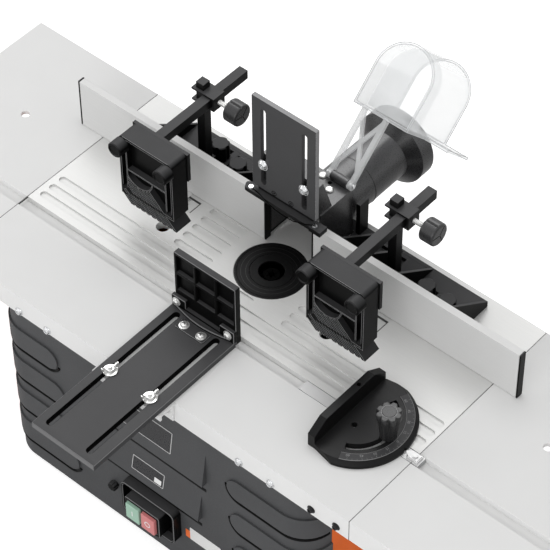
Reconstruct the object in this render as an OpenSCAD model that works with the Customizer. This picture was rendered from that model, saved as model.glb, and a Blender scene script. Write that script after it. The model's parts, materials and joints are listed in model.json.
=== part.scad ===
// Bench spindle moulder: table with two extension wings, split fence, dust hood,
// two comb pressers, side presser, mitre gauge and a height-adjustable spindle.
// Millimetres, Z up, floor at zero, spindle axis on the Z axis, operator side at -Y.

/* [Table] */
// Height of the table top above the floor
table_height = 317; // [309:1:330]
// Half of the main table width
table_half = 307; // [300:1:312]
// Front edge of the table, distance from the spindle axis
table_front = 225; // [223:1:228]
// Rear edge of the table, distance from the spindle axis
table_rear = 135; // [130:1:145]
// Length of one extension wing
wing_len = 207.5; // [190:0.5:230]
// Thickness of the light top plates
plate_t = 6; // [5:0.5:7]
// Height of the folded front lip
lip_h = 33.6; // [28:0.2:36]
// Thickness of the folded front lip
lip_t = 2.7; // [2:0.1:2.7]
// Depth of the ribbed centre plate
core_t = 12; // [11:0.5:12]
// Front edge of the mitre slot
slot_front = 117.8; // [117.6:0.1:118.6]
// Rear edge of the mitre slot
slot_rear = 101.3; // [100.5:0.1:101.4]
// Depth of the mitre slot
slot_depth = 8; // [7.8:0.1:8.4]
// Depth of the chip grooves
groove_d = 2.5; // [1.5:0.1:3.5]
// Width of one chip groove
groove_w = 10; // [8:0.5:11]
// Radius of the hole in each wing
wing_hole_r = 5.5; // [4:0.25:7]

/* [Body] */
// Half of the body width
body_half = 248; // [244:0.5:250]
// Corner radius of the body
body_r = 40; // [36:0.5:42]
// Wall thickness of the body
body_wall = 2.5; // [2:0.1:3]
// Height of one pressed band
band_h = 34; // [28:0.5:36]
// How far the pressed bands stand out
band_out = 2.6; // [1.6:0.1:3]
// How far the centre pads stand out at their lower edge
pad_out = 8; // [5:0.5:9]
// Height of the rubber feet
foot_h = 8; // [6:0.5:12]
// Radius of the rubber feet
foot_r = 15; // [12:0.5:18]
// Radius of the bench bolt holes through the feet
bolt_r = 4.5; // [3:0.25:5]

/* [Spindle] */
// Radius of the spindle nose
spindle_r = 10; // [8:0.25:11]
// Spindle travel
lift_travel = 40; // [30:1:42]
// Outer radius of the insert ring
ring_r = 45.4; // [43:0.2:46]
// Radius of the inner insert ring
ring_in_r = 26.5; // [24:0.2:28]
// Radius of the spindle opening
ring_hole_r = 16; // [15.5:0.2:18]
// Thickness of the insert rings
ring_t = 6; // [4:0.25:7]
// Radius of the motor body
motor_r = 44; // [42:0.5:44]
// Radius of the two guide columns
column_r = 7; // [6:0.25:7.5]
// Radius of the lift screw
screw_r = 6; // [5.5:0.1:6.2]
// Radius of the handwheel
wheel_r = 42; // [36:1:44]

/* [Fence] */
// Height of the fence above the table
fence_h = 74; // [66:0.5:74]
// Thickness of one fence half
fence_t = 9.5; // [9:0.1:9.5]
// Outer end of the left fence half
fence_left_end = 344; // [330:1:350]
// Outer end of the right fence half
fence_right_end = 341; // [330:1:350]
// Inner end of the left fence half
fence_left_gap = 37.8; // [34:0.2:40]
// Inner end of the right fence half
fence_right_gap = 34; // [32:0.2:40]
// Radius of the dust tube
tube_r = 34; // [30:0.5:34]
// Outer radius of the dust hose spigot
spigot_r = 50; // [46:0.5:51]
// Length of the dust hose spigot
spigot_len = 20; // [16:1:30]

/* [Guards] */
// Width of the sliding guard plate
guard_w = 96; // [86:1:98]
// Height of the sliding guard plate
guard_h = 144; // [136:1:150]
// Thickness of the sliding guard plate
guard_t = 6; // [4:0.25:6]
// Tilt of the clear hood above horizontal
hood_tilt = 43; // [43:1:52]
// Width of the clear hood
hood_w = 80; // [74:1:86]
// Wall thickness of the clear hood
hood_wall = 2.4; // [1.6:0.1:3]

/* [Pressers] */
// Side length of the square presser posts
post_a = 12; // [10:0.5:12]
// Height of the presser posts above the table
post_top = 152; // [149.5:0.5:160]
// Side length of the square presser rods
rod_a = 13; // [11:0.5:13]
// Length of the presser rods
rod_len = 151; // [140:1:165]
// Width of the comb block
comb_w = 84; // [80:1:86]
// Depth of the comb block
comb_d = 25.7; // [20:0.1:26]
// Height of the comb tips above the table
comb_tip_z = 33; // [30:0.5:36]
// Radius of the clamp knobs
knob_r = 14; // [11:0.5:15]
// Radius of the small comb knobs
small_knob_r = 10.5; // [8:0.25:11]

/* [Side presser] */
// Width of the slide plate
slide_w = 97; // [90:1:104]
// Thickness of the slide plate
slide_t = 8; // [6:0.5:9]
// Height of the upright shoe
shoe_h = 96; // [80:1:104]

/* [Mitre gauge] */
// Radius of the protractor arc
arc_r = 71; // [66:0.5:73]
// Height of the gauge fence
gauge_h = 34; // [26:0.5:36]
// Radius of the gauge knob
gauge_knob_r = 15.5; // [13:0.5:16]

/* [Switch] */
// Width of the switch tray
tray_w = 86; // [82:1:96]
// Button travel
button_travel = 3; // [2:0.25:3.5]

/* [Clearances] */
// Gap between a seated piece and its seat
seat = 0.3; // [0.2:0.05:0.35]
// Radial gap of a running fit
run_fit = 0.05; // [0.02:0.01:0.09]

/* [Hidden] */
$fn = 40;
top = table_height;
body_back = 125;
body_front = table_front - lip_t - 0.3;
body_top = -core_t - seat;
body_bot = foot_h - top;
side_y0 = -body_front + body_r;
side_y1 = body_back - body_r;
fence_y = 33;
unit_x = -1;
screw_z = 140;
floor_t = 9;
post_y = 74;
tube_y0 = 104.3;
tube_x = 1.5;
tube_z = 37.5;
foot_x = 205;
foot_y = 100;
screw_y = 62;
hand_z = -210;
left_rod = -157;
right_rod = 140.5;
gauge_x = 222;
gauge_y = -(slot_front + slot_rear) / 2;
gauge_slot_r = 46;

// Shared shapes

module at_top() {
  translate([0, 0, top]) children();
}

module box(x0, x1, y0, y1, z0, z1) {
  translate([x0, y0, z0]) cube([x1 - x0, y1 - y0, z1 - z0]);
}

module round_rect(x0, x1, y0, y1, r) {
  translate([x0 + r, y0]) square([x1 - x0 - 2 * r, y1 - y0]);
  translate([x0, y0 + r]) square([x1 - x0, y1 - y0 - 2 * r]);
  translate([x0 + r, y0 + r]) circle(r);
  translate([x1 - r, y0 + r]) circle(r);
  translate([x0 + r, y1 - r]) circle(r);
  translate([x1 - r, y1 - r]) circle(r);
}

module body_plan(grow) {
  round_rect(-body_half - grow, body_half + grow, -body_front - grow, body_back + grow, body_r + grow);
}

// Flat-ended round hole along Z, stretched along X
module groove(x0, x1, y, d) {
  translate([0, 0, -d]) {
    linear_extrude(d + 1) {
      translate([x0 + groove_w / 2, y - groove_w / 2]) square([x1 - x0 - groove_w, groove_w]);
      translate([x0 + groove_w / 2, y]) circle(groove_w / 2);
      translate([x1 - groove_w / 2, y]) circle(groove_w / 2);
    }
  }
}

module slot_y(x, y0, y1, w, z0, z1) {
  translate([0, 0, z0]) {
    linear_extrude(z1 - z0) {
      translate([x - w / 2, y0 + w / 2]) square([w, y1 - y0 - w]);
      translate([x, y0 + w / 2]) circle(w / 2);
      translate([x, y1 - w / 2]) circle(w / 2);
    }
  }
}

module slot_z(x, z0, z1, w, y0, y1) {
  translate([0, y1, 0]) {
    rotate([90, 0, 0]) {
      linear_extrude(y1 - y0) {
        translate([x - w / 2, z0 + w / 2]) square([w, z1 - z0 - w]);
        translate([x, z0 + w / 2]) circle(w / 2);
        translate([x, z1 - w / 2]) circle(w / 2);
      }
    }
  }
}

// Lobed grip: a drum with scallops round its edge and a chamfered top
module lobed(r, h, lobes, scallop) {
  difference() {
    union() {
      cylinder(r = r, h = h - r * 0.12);
      translate([0, 0, h - r * 0.12]) cylinder(r1 = r, r2 = r * 0.88, h = r * 0.12);
    }
    for (i = [0:lobes - 1]) {
      rotate([0, 0, i * 360 / lobes]) {
        translate([r + scallop * 0.55, 0, -1]) cylinder(r = scallop, h = h + 2, $fn = 16);
      }
    }
  }
}

// Body

module window(x0, x1) {
  box(x0, x1, side_y0 + 0.3, side_y1 - 0.3, body_bot + 12, -22);
}

module band(z0, x_end, side) {
  intersection() {
    translate([0, 0, z0]) {
      linear_extrude(band_h) {
        difference() {
          body_plan(band_out);
          body_plan(-0.5);
        }
      }
    }
    translate([0, side_y0 - 0.5, z0 + band_h / 2]) {
      rotate([90, 0, 0]) {
        linear_extrude(80) {
          if (side < 0) {
            translate([-320, -band_h / 2]) square([x_end + 320 - band_h / 2, band_h]);
            translate([x_end - band_h / 2, 0]) circle(band_h / 2);
          } else {
            translate([x_end + band_h / 2, -band_h / 2]) square([320 - x_end, band_h]);
            translate([x_end + band_h / 2, 0]) circle(band_h / 2);
          }
        }
      }
    }
  }
}

module pad(x_half, z0, z1) {
  translate([-x_half, 0, 0]) {
    rotate([90, 0, 90]) {
      linear_extrude(2 * x_half) {
        polygon([[-body_front + 0.5, z0], [-body_front + 0.5, z1], [-body_front, z1],
          [-body_front - pad_out, z0 + 2], [-body_front - pad_out, z0]]);
      }
    }
  }
}

module body_shell() {
  color([0.33, 0.34, 0.35]) at_top() {
    difference() {
      union() {
        translate([0, 0, body_bot]) {
          linear_extrude(body_top - body_bot) body_plan(0);
        }
        band(-101, -146, -1);
        band(-160, -139, -1);
        band(-219, -131, -1);
        band(-278, -124, -1);
        band(-106.5, 125, 1);
        band(-167.5, 129, 1);
        band(-228, 133, 1);
        band(-285, 138, 1);
        pad(91, -118, -65);
        pad(82, -192, -150);
      }
      translate([0, 0, body_bot + body_wall]) {
        linear_extrude(body_top - body_bot) body_plan(-body_wall);
      }
      window(-body_half - 1, -body_half + body_wall + 1);
      window(body_half - body_wall - 1, body_half + 1);
      translate([-22, -body_front - 20, -247]) cube([52, 40, 24]);
      translate([-62.5, -body_front + 10, -247.5]) rotate([90, 0, 0]) cylinder(r = 5, h = 20);
      for (i = [-5:5]) {
        box(i * 22 - 6, i * 22 + 6, body_back - 10, body_back + 5, -200, -140);
      }
      for (x = [-202, -155.7, 146, 193]) {
        translate([x, -body_front + 8, -28]) rotate([90, 0, 0]) cylinder(r = 2.8, h = 12, $fn = 16);
      }
      for (x = [-foot_x, foot_x], y = [-foot_y, foot_y]) {
        translate([x, y, body_bot - 1]) cylinder(r = 7.2, h = body_wall + 2, $fn = 32);
      }
    }
    // inner frames that carry the side panels
    for (s = [-1, 1]) {
      difference() {
        box(s * (body_half - body_wall - 1.25) - 1.25, s * (body_half - body_wall - 1.25) + 1.25,
          side_y0 - 8, side_y1 + 8, body_bot + 2, body_top);
        box(s * (body_half - body_wall - 1.25) - 3, s * (body_half - body_wall - 1.25) + 3,
          side_y0 + 10, side_y1 - 7, body_bot + 22, -32);
      }
    }
  }
}

module side_panel(s) {
  x0 = body_half - body_wall + seat;
  difference() {
    translate([0, 0, 0]) {
      box(s > 0 ? x0 : -body_half, s > 0 ? body_half : -x0,
        side_y0 + 0.7, side_y1 - 0.7, body_bot + 12.4, -22.4);
    }
    for (i = [0:5]) {
      slot_side(s, -150 + i * 22);
    }
    if (s > 0) {
      translate([x0 - 5, screw_y, hand_z]) rotate([0, 90, 0]) cylinder(r = screw_r + 1.2, h = 12);
    }
  }
}

module slot_side(s, y) {
  box(s > 0 ? 200 : -300, s > 0 ? 300 : -200, y, y + 8, -120, -70);
}

module side_panel_left() {
  color([0.91, 0.41, 0.12]) at_top() side_panel(-1);
}

module side_panel_right() {
  color([0.91, 0.41, 0.12]) at_top() side_panel(1);
}

module feet() {
  color([0.1, 0.1, 0.1]) {
    for (x = [-foot_x, foot_x], y = [-foot_y, foot_y]) {
      translate([x, y, 0]) {
        difference() {
          union() {
            cylinder(r1 = foot_r - 2, r2 = foot_r, h = foot_h - seat);
            cylinder(r = 7, h = foot_h + body_wall + 2, $fn = 32);
          }
          translate([0, 0, -1]) cylinder(r = bolt_r, h = foot_h + body_wall + 5, $fn = 32);
        }
      }
    }
  }
}

// Table

module lip(x0, x1) {
  box(x0, x1, -table_front, -table_front + lip_t, -lip_h, -1);
}

module slot_channel(x0, x1) {
  box(x0, x1, -slot_front - 3.2, -slot_front, -slot_depth - 4, -1);
  box(x0, x1, -slot_front - 3.2, -slot_rear, -slot_depth - 4, -slot_depth);
}

module ribbed_plate() {
  color([0.79, 0.79, 0.78]) at_top() {
    difference() {
      union() {
        box(-table_half + 0.3, table_half - 0.3, -slot_rear + 0.3, table_rear, -core_t, 0);
        box(-table_half + 0.3, table_half - 0.3, table_rear - 2.7, table_rear, -30, -1);
      }
      groove(-table_half + 8, table_half - 5, -69.5, groove_d);
      groove(-table_half + 8, table_half - 5, -85.5, groove_d);
      groove(-table_half + 8, -60, -52.5, groove_d);
      groove(62, table_half - 5, -52.5, groove_d);
      groove(-22, 16, -52.8, groove_d);
      for (y = [27, 11, -5, -21.5, -37.5]) {
        groove(-121, -62, y, groove_d);
        groove(62, 121, y, groove_d);
      }
      cylinder(r = ring_r + seat, h = 60, center = true);
      translate([-147, -31, -20]) cylinder(r = 8.5, h = 40);
      translate([112, -31.5, -20]) cylinder(r = 8.5, h = 40);
      box(-156, -137, 7, 70, -0.8, 1);
      box(137, 157, 7, 70, -0.8, 1);
      for (p = knob_points()) {
        translate([p[0], p[1], -20]) cylinder(r = 4 + run_fit, h = 40, $fn = 32);
      }
    }
    // ledge for the insert rings
    difference() {
      translate([0, 0, -core_t]) cylinder(r = ring_r + 2, h = core_t - ring_t - seat);
      translate([0, 0, -core_t - 1]) cylinder(r = ring_r - 5, h = core_t + 2);
    }
  }
}

module front_plate() {
  color([0.88, 0.88, 0.88]) at_top() {
    difference() {
      union() {
        box(-table_half + 0.3, table_half - 0.3, -table_front, -slot_front, -plate_t, 0);
        lip(-table_half + 0.3, table_half - 0.3);
        slot_channel(-table_half + 0.3, table_half - 0.3);
      }
      for (x = [-202, -155.7, 146, 193]) {
        translate([x, -table_front + 8, -28]) rotate([90, 0, 0]) cylinder(r = 2.8, h = 20, $fn = 16);
      }
      for (x = [table_half - 54, table_half - 18]) {
        translate([x, -table_front + 8, -24]) rotate([90, 0, 0]) cylinder(r = 2.8, h = 20, $fn = 16);
      }
      for (x = [-45, 44]) {
        translate([x, -table_front + 8, -20]) rotate([90, 0, 0]) cylinder(r = 2.8, h = 20, $fn = 16);
      }
    }
  }
}

module wing(s) {
  x0 = s > 0 ? table_half : -table_half - wing_len;
  x1 = x0 + wing_len;
  difference() {
    union() {
      box(x0, x1, -table_front, -slot_front, -plate_t, 0);
      box(x0, x1, -slot_rear, table_rear, -plate_t, 0);
      lip(x0, x1);
      slot_channel(x0, x1);
      box(x0, x1, -slot_rear, -slot_rear + 3, -slot_depth - 4, -1);
      box(x0, x1, table_rear - 2.7, table_rear, -30, -1);
      if (s > 0) {
        box(x1 - 2.7, x1, -table_front, -slot_front, -30, -1);
        box(x1 - 2.7, x1, -slot_rear, table_rear, -30, -1);
      } else {
        box(x0, x0 + 2.7, -table_front, -slot_front, -30, -1);
        box(x0, x0 + 2.7, -slot_rear, table_rear, -30, -1);
      }
    }
    translate([s * (table_half + 103), 0, -20]) cylinder(r = wing_hole_r, h = 40);
  }
}

module wing_left() {
  color([0.88, 0.88, 0.88]) at_top() wing(-1);
}

module wing_right() {
  color([0.88, 0.88, 0.88]) at_top() wing(1);
}

module bracket_arm(s, y) {
  x0 = body_half + 0.3;
  x1 = table_half + 3;
  x2 = table_half + 183;
  box(s > 0 ? x1 : -x2, s > 0 ? x2 : -x1, y - 12, y + 12, -plate_t - 3.3, -plate_t - seat);
  translate([0, y + 1.5, 0]) {
    rotate([90, 0, 0]) {
      linear_extrude(3) {
        polygon([[s * x0, -core_t - 0.6], [s * x1, -core_t - 0.6], [s * x1, -plate_t - 3],
          [s * x2, -plate_t - 3], [s * (x2 - 10), -18], [s * x0, -60]]);
      }
    }
  }
  box(s > 0 ? x0 : -x0 - 3, s > 0 ? x0 + 3 : -x0, y - 12, y + 12, -60, -core_t - 0.6);
}

module wing_brackets() {
  color([0.25, 0.26, 0.27]) at_top() {
    for (s = [-1, 1], y = [-160, 60]) {
      bracket_arm(s, y);
    }
  }
}

module lip_screw(x, z, r, h) {
  translate([x, -table_front, z]) {
    rotate([90, 0, 0]) {
      difference() {
        union() {
          cylinder(r = r + 1.4, h = 0.8);
          translate([0, 0, 0.8]) cylinder(r1 = r, r2 = r * 0.8, h = h - 0.8);
          translate([0, 0, -7]) cylinder(r = 2.4, h = 8, $fn = 16);
        }
        translate([0, 0, h - 1.2]) cylinder(r = r * 0.45, h = 3, $fn = 6);
      }
    }
  }
}

module table_screws() {
  color([0.75, 0.76, 0.77]) at_top() {
    for (x = [-202, -155.7, 146, 193]) {
      lip_screw(x, -28, 4.5, 3.6);
    }
    for (x = [table_half - 54, table_half - 18]) {
      lip_screw(x, -24, 4, 4);
    }
  }
}

// Insert rings

module ring_outer() {
  color([0.09, 0.09, 0.1]) at_top() {
    difference() {
      translate([0, 0, -ring_t]) cylinder(r = ring_r, h = ring_t, $fn = 72);
      translate([0, 0, -ring_t - 1]) cylinder(r = ring_in_r - 2.5, h = ring_t + 2, $fn = 56);
      translate([0, 0, -ring_t / 2]) cylinder(r = ring_in_r + 0.4, h = ring_t, $fn = 56);
      translate([0, 0, -0.6]) {
        difference() {
          cylinder(r = ring_r - 3, h = 2, $fn = 72);
          translate([0, 0, -1]) cylinder(r = ring_r - 3.8, h = 4, $fn = 72);
        }
      }
    }
  }
}

module ring_inner() {
  color([0.08, 0.08, 0.09]) at_top() {
    difference() {
      translate([0, 0, -ring_t / 2 + seat]) cylinder(r = ring_in_r, h = ring_t / 2 - seat, $fn = 56);
      translate([0, 0, -ring_t]) cylinder(r = ring_hole_r, h = ring_t + 2, $fn = 48);
    }
  }
}

// Spindle and lift

module lift_frame() {
  color([0.3, 0.31, 0.32]) at_top() {
    difference() {
      union() {
        box(-85, 85, 15, 76, -24, -core_t - seat);
        box(-85, 85, 15, 76, -262, -250);
        for (x = [-66, 66]) {
          translate([x, 30, -251]) cylinder(r = column_r, h = 228);
        }
        box(58, 68, 50, 74, -251, -196);
      }
      translate([0, 0, -30]) cylinder(r = ring_r + 2.5, h = 30);
      translate([0, screw_y, -300]) cylinder(r = screw_r + run_fit, h = 300);
      translate([50, screw_y, hand_z]) rotate([0, 90, 0]) cylinder(r = screw_r + run_fit, h = 30);
    }
  }
}

module motor_carrier() {
  color([0.52, 0.54, 0.56]) at_top() {
    difference() {
      union() {
        translate([0, 0, -150]) cylinder(r = motor_r + 8, h = 30);
        box(-80, 80, 20, 74, -150, -120);
      }
      translate([0, 0, -160]) cylinder(r = motor_r + seat, h = 50);
      for (x = [-66, 66]) {
        translate([x, 30, -160]) cylinder(r = column_r + run_fit, h = 50);
      }
      translate([0, screw_y, -160]) cylinder(r = screw_r + run_fit, h = 50);
      box(-9, 9, screw_y - 7, screw_y + 7, -130, -119);
    }
  }
}

module motor() {
  color([0.16, 0.17, 0.18]) at_top() {
    difference() {
      union() {
        translate([0, 0, -112]) cylinder(r = motor_r - 4, h = 52);
        translate([0, 0, -196]) cylinder(r = motor_r - 3, h = 46);
        translate([0, 0, -152]) cylinder(r = motor_r, h = 42);
        translate([0, 0, -200]) cylinder(r = motor_r - 14, h = 6);
        translate([0, 0, -61]) cylinder(r = spindle_r + 9, h = 13);
      }
      translate([0, 0, -100]) cylinder(r = spindle_r + run_fit, h = 60);
      for (i = [0:11]) {
        rotate([0, 0, i * 30]) box(motor_r - 7, motor_r + 2, -3, 3, -190, -158);
      }
    }
  }
}

module spindle_shaft() {
  color([0.76, 0.77, 0.78]) at_top() {
    difference() {
      union() {
        translate([0, 0, -98]) cylinder(r = spindle_r, h = 56);
        translate([0, 0, -43]) cylinder(r = spindle_r - 0.4, h = 26);
        translate([0, 0, -18]) cylinder(r = spindle_r, h = 12);
        translate([0, 0, -47]) cylinder(r = spindle_r + 4, h = 6);
      }
      translate([0, 0, -26]) cylinder(r = 4, h = 30, $fn = 24);
      for (i = [0:2]) {
        rotate([0, 0, i * 60]) box(-6.6, 6.6, -0.6, 0.6, -16, 0);
      }
    }
  }
}

module spindle_nut() {
  color([0.45, 0.46, 0.47]) at_top() {
    difference() {
      intersection() {
        translate([0, 0, -34]) cylinder(r = 14.4, h = 16);
        translate([0, 0, -34]) cylinder(r = 15.4, h = 16, $fn = 6);
      }
      translate([0, 0, -40]) cylinder(r = spindle_r + seat, h = 40);
    }
  }
}

module lift_screw() {
  color([0.7, 0.71, 0.72]) at_top() {
    translate([0, screw_y, -261]) cylinder(r = screw_r, h = 248);
    translate([0, screw_y, hand_z - 24]) cylinder(r1 = 23.5, r2 = 11.7, h = 11.8);
    translate([0, screw_y, hand_z - 36]) cylinder(r = 14, h = 12.5);
  }
}

module handwheel() {
  color([0.12, 0.12, 0.13]) at_top() {
    translate([0, screw_y, hand_z]) {
      rotate([0, 90, 0]) {
        translate([0, 0, 12.3]) cylinder(r1 = 11.6, r2 = 23.3, h = 11.7);
        translate([0, 0, 24]) cylinder(r = 12, h = 10);
        translate([0, 0, 30]) cylinder(r = screw_r, h = body_half - 16);
        translate([0, 0, body_half + 2]) cylinder(r = 13, h = 18);
        translate([0, 0, body_half + 10]) {
          difference() {
            cylinder(r = wheel_r, h = 10, $fn = 60);
            translate([0, 0, -1]) cylinder(r = wheel_r - 9, h = 12, $fn = 60);
          }
        }
        for (i = [0:2]) {
          rotate([0, 0, i * 120]) box(8, wheel_r - 5, -5, 5, body_half + 12, body_half + 19);
        }
        translate([-(wheel_r - 5), 0, body_half + 14]) cylinder(r = 2.5, h = 40, $fn = 24);
      }
    }
  }
}

module handwheel_grip() {
  color([0.1, 0.1, 0.11]) at_top() {
    translate([body_half + 20.5, screw_y, hand_z + wheel_r - 5]) {
      rotate([0, 90, 0]) {
        difference() {
          union() {
            cylinder(r1 = 5.2, r2 = 7, h = 26);
            translate([0, 0, 26]) cylinder(r1 = 7, r2 = 4.6, h = 7);
          }
          translate([0, 0, -1]) cylinder(r = 2.5 + run_fit, h = 36, $fn = 24);
        }
      }
    }
  }
}

// Fence

module fence_half(x0, x1) {
  difference() {
    box(x0, x1, fence_y, fence_y + fence_t, 0.5, fence_h);
    box(x0 - 1, x1 + 1, fence_y + 4, fence_y + 7.2, 30, 44);
    box(x0 - 1, x1 + 1, fence_y + 6, fence_y + 12, 33, 41);
  }
}

module fence_left() {
  color([0.84, 0.84, 0.83]) at_top() fence_half(-fence_left_end + 2 + seat, -fence_left_gap - 2 - seat);
}

module fence_right() {
  color([0.84, 0.84, 0.83]) at_top() fence_half(fence_right_gap + 2 + seat, fence_right_end - 2 - seat);
}

module cap_strip(x0, x1) {
  box(x0, x1, fence_y - 0.1, fence_y + fence_t, 0.5, fence_h + 0.3);
}

module fence_cap_left() {
  color([0.08, 0.08, 0.08]) at_top() {
    cap_strip(-fence_left_end, -fence_left_end + 2);
    cap_strip(-fence_left_gap - 2, -fence_left_gap);
  }
}

module fence_cap_right() {
  color([0.08, 0.08, 0.08]) at_top() {
    cap_strip(fence_right_end - 2, fence_right_end);
    cap_strip(fence_right_gap, fence_right_gap + 2);
  }
}

function knob_points() = [[-166, 96.5], [-127, 84], [172, 78], [204.5, 75]];

module rail(x0, x1) {
  box(x0, x1, fence_y + 7, fence_y + 11, 33.4, 40.6);
  box(x0, x1, fence_y + 4.4, fence_y + 6.8, 30.4, 43.6);
  box(x0, x1, fence_y + 4.4, fence_y + 8, 33.4, 40.6);
}

module gusset(x, w, h) {
  translate([x - w / 2, 0, 0]) {
    rotate([90, 0, 90]) {
      linear_extrude(w) {
        polygon([[48, 4], [121, 4], [121, 9], [50, h], [48, h]]);
      }
    }
  }
}

module carrier_side(x0, x1, rx0, rx1) {
  box(x0, x1, 43, 49, 0.5, 62);
  box(x0, x1, 43, 122, 0.5, floor_t);
  rail(rx0, rx1);
}

module post_socket(x) {
  difference() {
    box(x - 9, x + 9, post_y - 9, post_y + 9, 4, 24);
    translate([x - post_a / 2 - 0.2, post_y - post_a / 2 - 0.2, floor_t]) {
      cube([post_a + 0.4, post_a + 0.4, 30]);
    }
  }
}

module fence_carrier() {
  color([0.15, 0.15, 0.16]) at_top() {
    difference() {
      union() {
        difference() {
          union() {
            carrier_side(-230, unit_x - 40 - seat, -220, -76);
            carrier_side(unit_x + 40 + seat, 230, 76, 220);
            box(-46, 46, 106, 122, 0.5, floor_t);
          }
          box(-140, -112, 49, 62, 3, 20);
          box(-97, -69, 56, 112, 3, 20);
          box(-151, -142.5, 52, 112, 3, 20);
          box(67, 97, 56, 112, 3, 20);
          box(107, 116, 88, 112, 3, 20);
        }
        for (x = [-228, -102, -64]) {
          gusset(x, 4, 60);
        }
        for (x = [62, 102, 148, 228]) {
          gusset(x, 4, 60);
        }
        box(-230, -43, 117, 122, 4, floor_t + 0.2);
        box(41, 146, 117, 122, 4, floor_t + 0.2);
        for (x = [-153.4, -141.4]) {
          box(x, x + 1.6, 49, 118, 4, floor_t + 0.2);
        }
        post_socket(left_rod - 14);
        post_socket(right_rod - 14);
        box(42, 48, 106, 122, 4, 60);
        box(-50, -44, 106, 122, 4, 60);
      }
      translate([tube_x, 80, tube_z]) rotate([-90, 0, 0]) cylinder(r = tube_r + 1.2, h = 60, $fn = 60);
      for (p = knob_points()) {
        box(p[0] - 6, p[0] + 6, p[1] - 12, p[1] + 17.5, -1, 12);
      }
    }
  }
}

module dust_housing() {
  color([0.13, 0.13, 0.14]) at_top() {
    difference() {
      union() {
        box(unit_x - 40, unit_x + 40, 44, 104, 9.3, 86);
        // upright block behind the sliding guard
        translate([unit_x - 38, 0, 0]) {
          rotate([90, 0, 90]) {
            linear_extrude(76) {
              polygon([[30.4, 86], [44, 79], [66, 79], [66, 86], [50, 134], [38, 134], [38, 151], [30.4, 151]]);
            }
          }
        }
        // hinge barrel for the clear hood
        box(9.6, 34.4, 96, 104, 84, 93);
        translate([9.6, 100, 93]) rotate([0, 90, 0]) cylinder(r = 6, h = 24.8);
      }
      box(unit_x - 37, unit_x + 37, 40, 101, 9, 83);
      translate([tube_x, 90, tube_z]) rotate([-90, 0, 0]) cylinder(r = tube_r - 4, h = 30, $fn = 56);
      translate([8, 100, 93]) rotate([0, 90, 0]) cylinder(r = 2.5 + run_fit, h = 30, $fn = 28);
      for (x = [-32, 30]) {
        translate([x, 60, screw_z]) rotate([90, 0, 0]) cylinder(r = 3.7, h = 40, $fn = 24);
      }
    }
  }
}

module dust_port() {
  color([0.14, 0.14, 0.15]) at_top() {
    translate([tube_x, tube_y0, tube_z]) {
      rotate([-90, 0, 0]) {
        difference() {
          union() {
            cylinder(r = tube_r, h = 112, $fn = 64);
            translate([0, 0, 47]) cylinder(r = tube_r + 0.5, h = 1, $fn = 64);
            translate([0, 0, 106]) cylinder(r1 = tube_r, r2 = spigot_r, h = 12, $fn = 72);
            translate([0, 0, 118]) cylinder(r = spigot_r, h = spigot_len, $fn = 72);
          }
          translate([0, 0, -1]) cylinder(r = tube_r - 3, h = 116, $fn = 64);
          translate([0, 0, 109]) cylinder(r1 = tube_r - 3, r2 = spigot_r - 3, h = 9.01, $fn = 72);
          translate([0, 0, 118]) cylinder(r = spigot_r - 3, h = spigot_len + 1, $fn = 72);
        }
      }
    }
  }
}

module lock_knob(i) {
  color([0.13, 0.13, 0.14]) at_top() {
    translate([knob_points()[i][0], knob_points()[i][1], 0]) {
      translate([0, 0, floor_t + 0.2 + seat]) cylinder(r = 8.5, h = 1.8);
      translate([0, 0, 11]) lobed(11.5, 23, 5, 4);
      translate([0, 0, -11.5]) cylinder(r = 4, h = 24, $fn = 32);
    }
  }
}

module lock_knob_a() {
  lock_knob(0);
}

module lock_knob_b() {
  lock_knob(1);
}

module lock_knob_c() {
  lock_knob(2);
}

module lock_knob_d() {
  lock_knob(3);
}

// Guards

module guard_bar() {
  translate([0, 0, 86]) {
    linear_extrude(6) {
      polygon([[-60, 24], [-57, 18.5], [-52, 18], [60, 18], [60, 30], [-56, 30], [-60, 27]]);
    }
  }
  box(43, 60, 16.5, 30, 86, 93);
  for (x = [-50, 48]) {
    translate([x, 22, 91]) cylinder(r = 3, h = 3.2);
  }
}

module guard_plate() {
  color([0.2, 0.2, 0.21]) at_top() {
    difference() {
      union() {
        box(unit_x - guard_w / 2, unit_x + guard_w / 2, 30 - guard_t, 30, 99, 99 + guard_h);
        box(unit_x - guard_w / 2 + 6, unit_x + guard_w / 2 - 6, 27, 30, 88, 100);
        guard_bar();
      }
      slot_z(-32, 107, 229, 8, 10, 40);
      slot_z(30, 107, 229, 8, 10, 40);
    }
  }
}

module guard_screws() {
  color([0.8, 0.81, 0.82]) at_top() {
    for (x = [-32, 30]) {
      translate([x, 30 - guard_t - seat, screw_z]) {
        rotate([90, 0, 0]) {
          difference() {
            union() {
              cylinder(r = 7.4, h = 1);
              translate([0, 0, 1]) cylinder(r1 = 6.2, r2 = 4.4, h = 3);
              translate([0, 0, -13]) cylinder(r = 3.4, h = 13.5, $fn = 24);
            }
            translate([0, 0, 2]) cylinder(r = 2.2, h = 4, $fn = 6);
          }
        }
      }
    }
  }
}

module hood_arch(x0, x1, y0, y1) {
  r = (x1 - x0) / 2;
  translate([x0, y0]) square([x1 - x0, y1 - y0 - r]);
  translate([x0 + r, y1 - r]) circle(r, $fn = 48);
}

module brace(x0, y0, x1, y1) {
  len = sqrt(pow(x1 - x0, 2) + pow(y1 - y0, 2));
  translate([x0, y0, 0]) rotate([0, 0, atan2(y1 - y0, x1 - x0)]) box(0, len, -2.4, 2.4, -2, 2);
}

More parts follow.
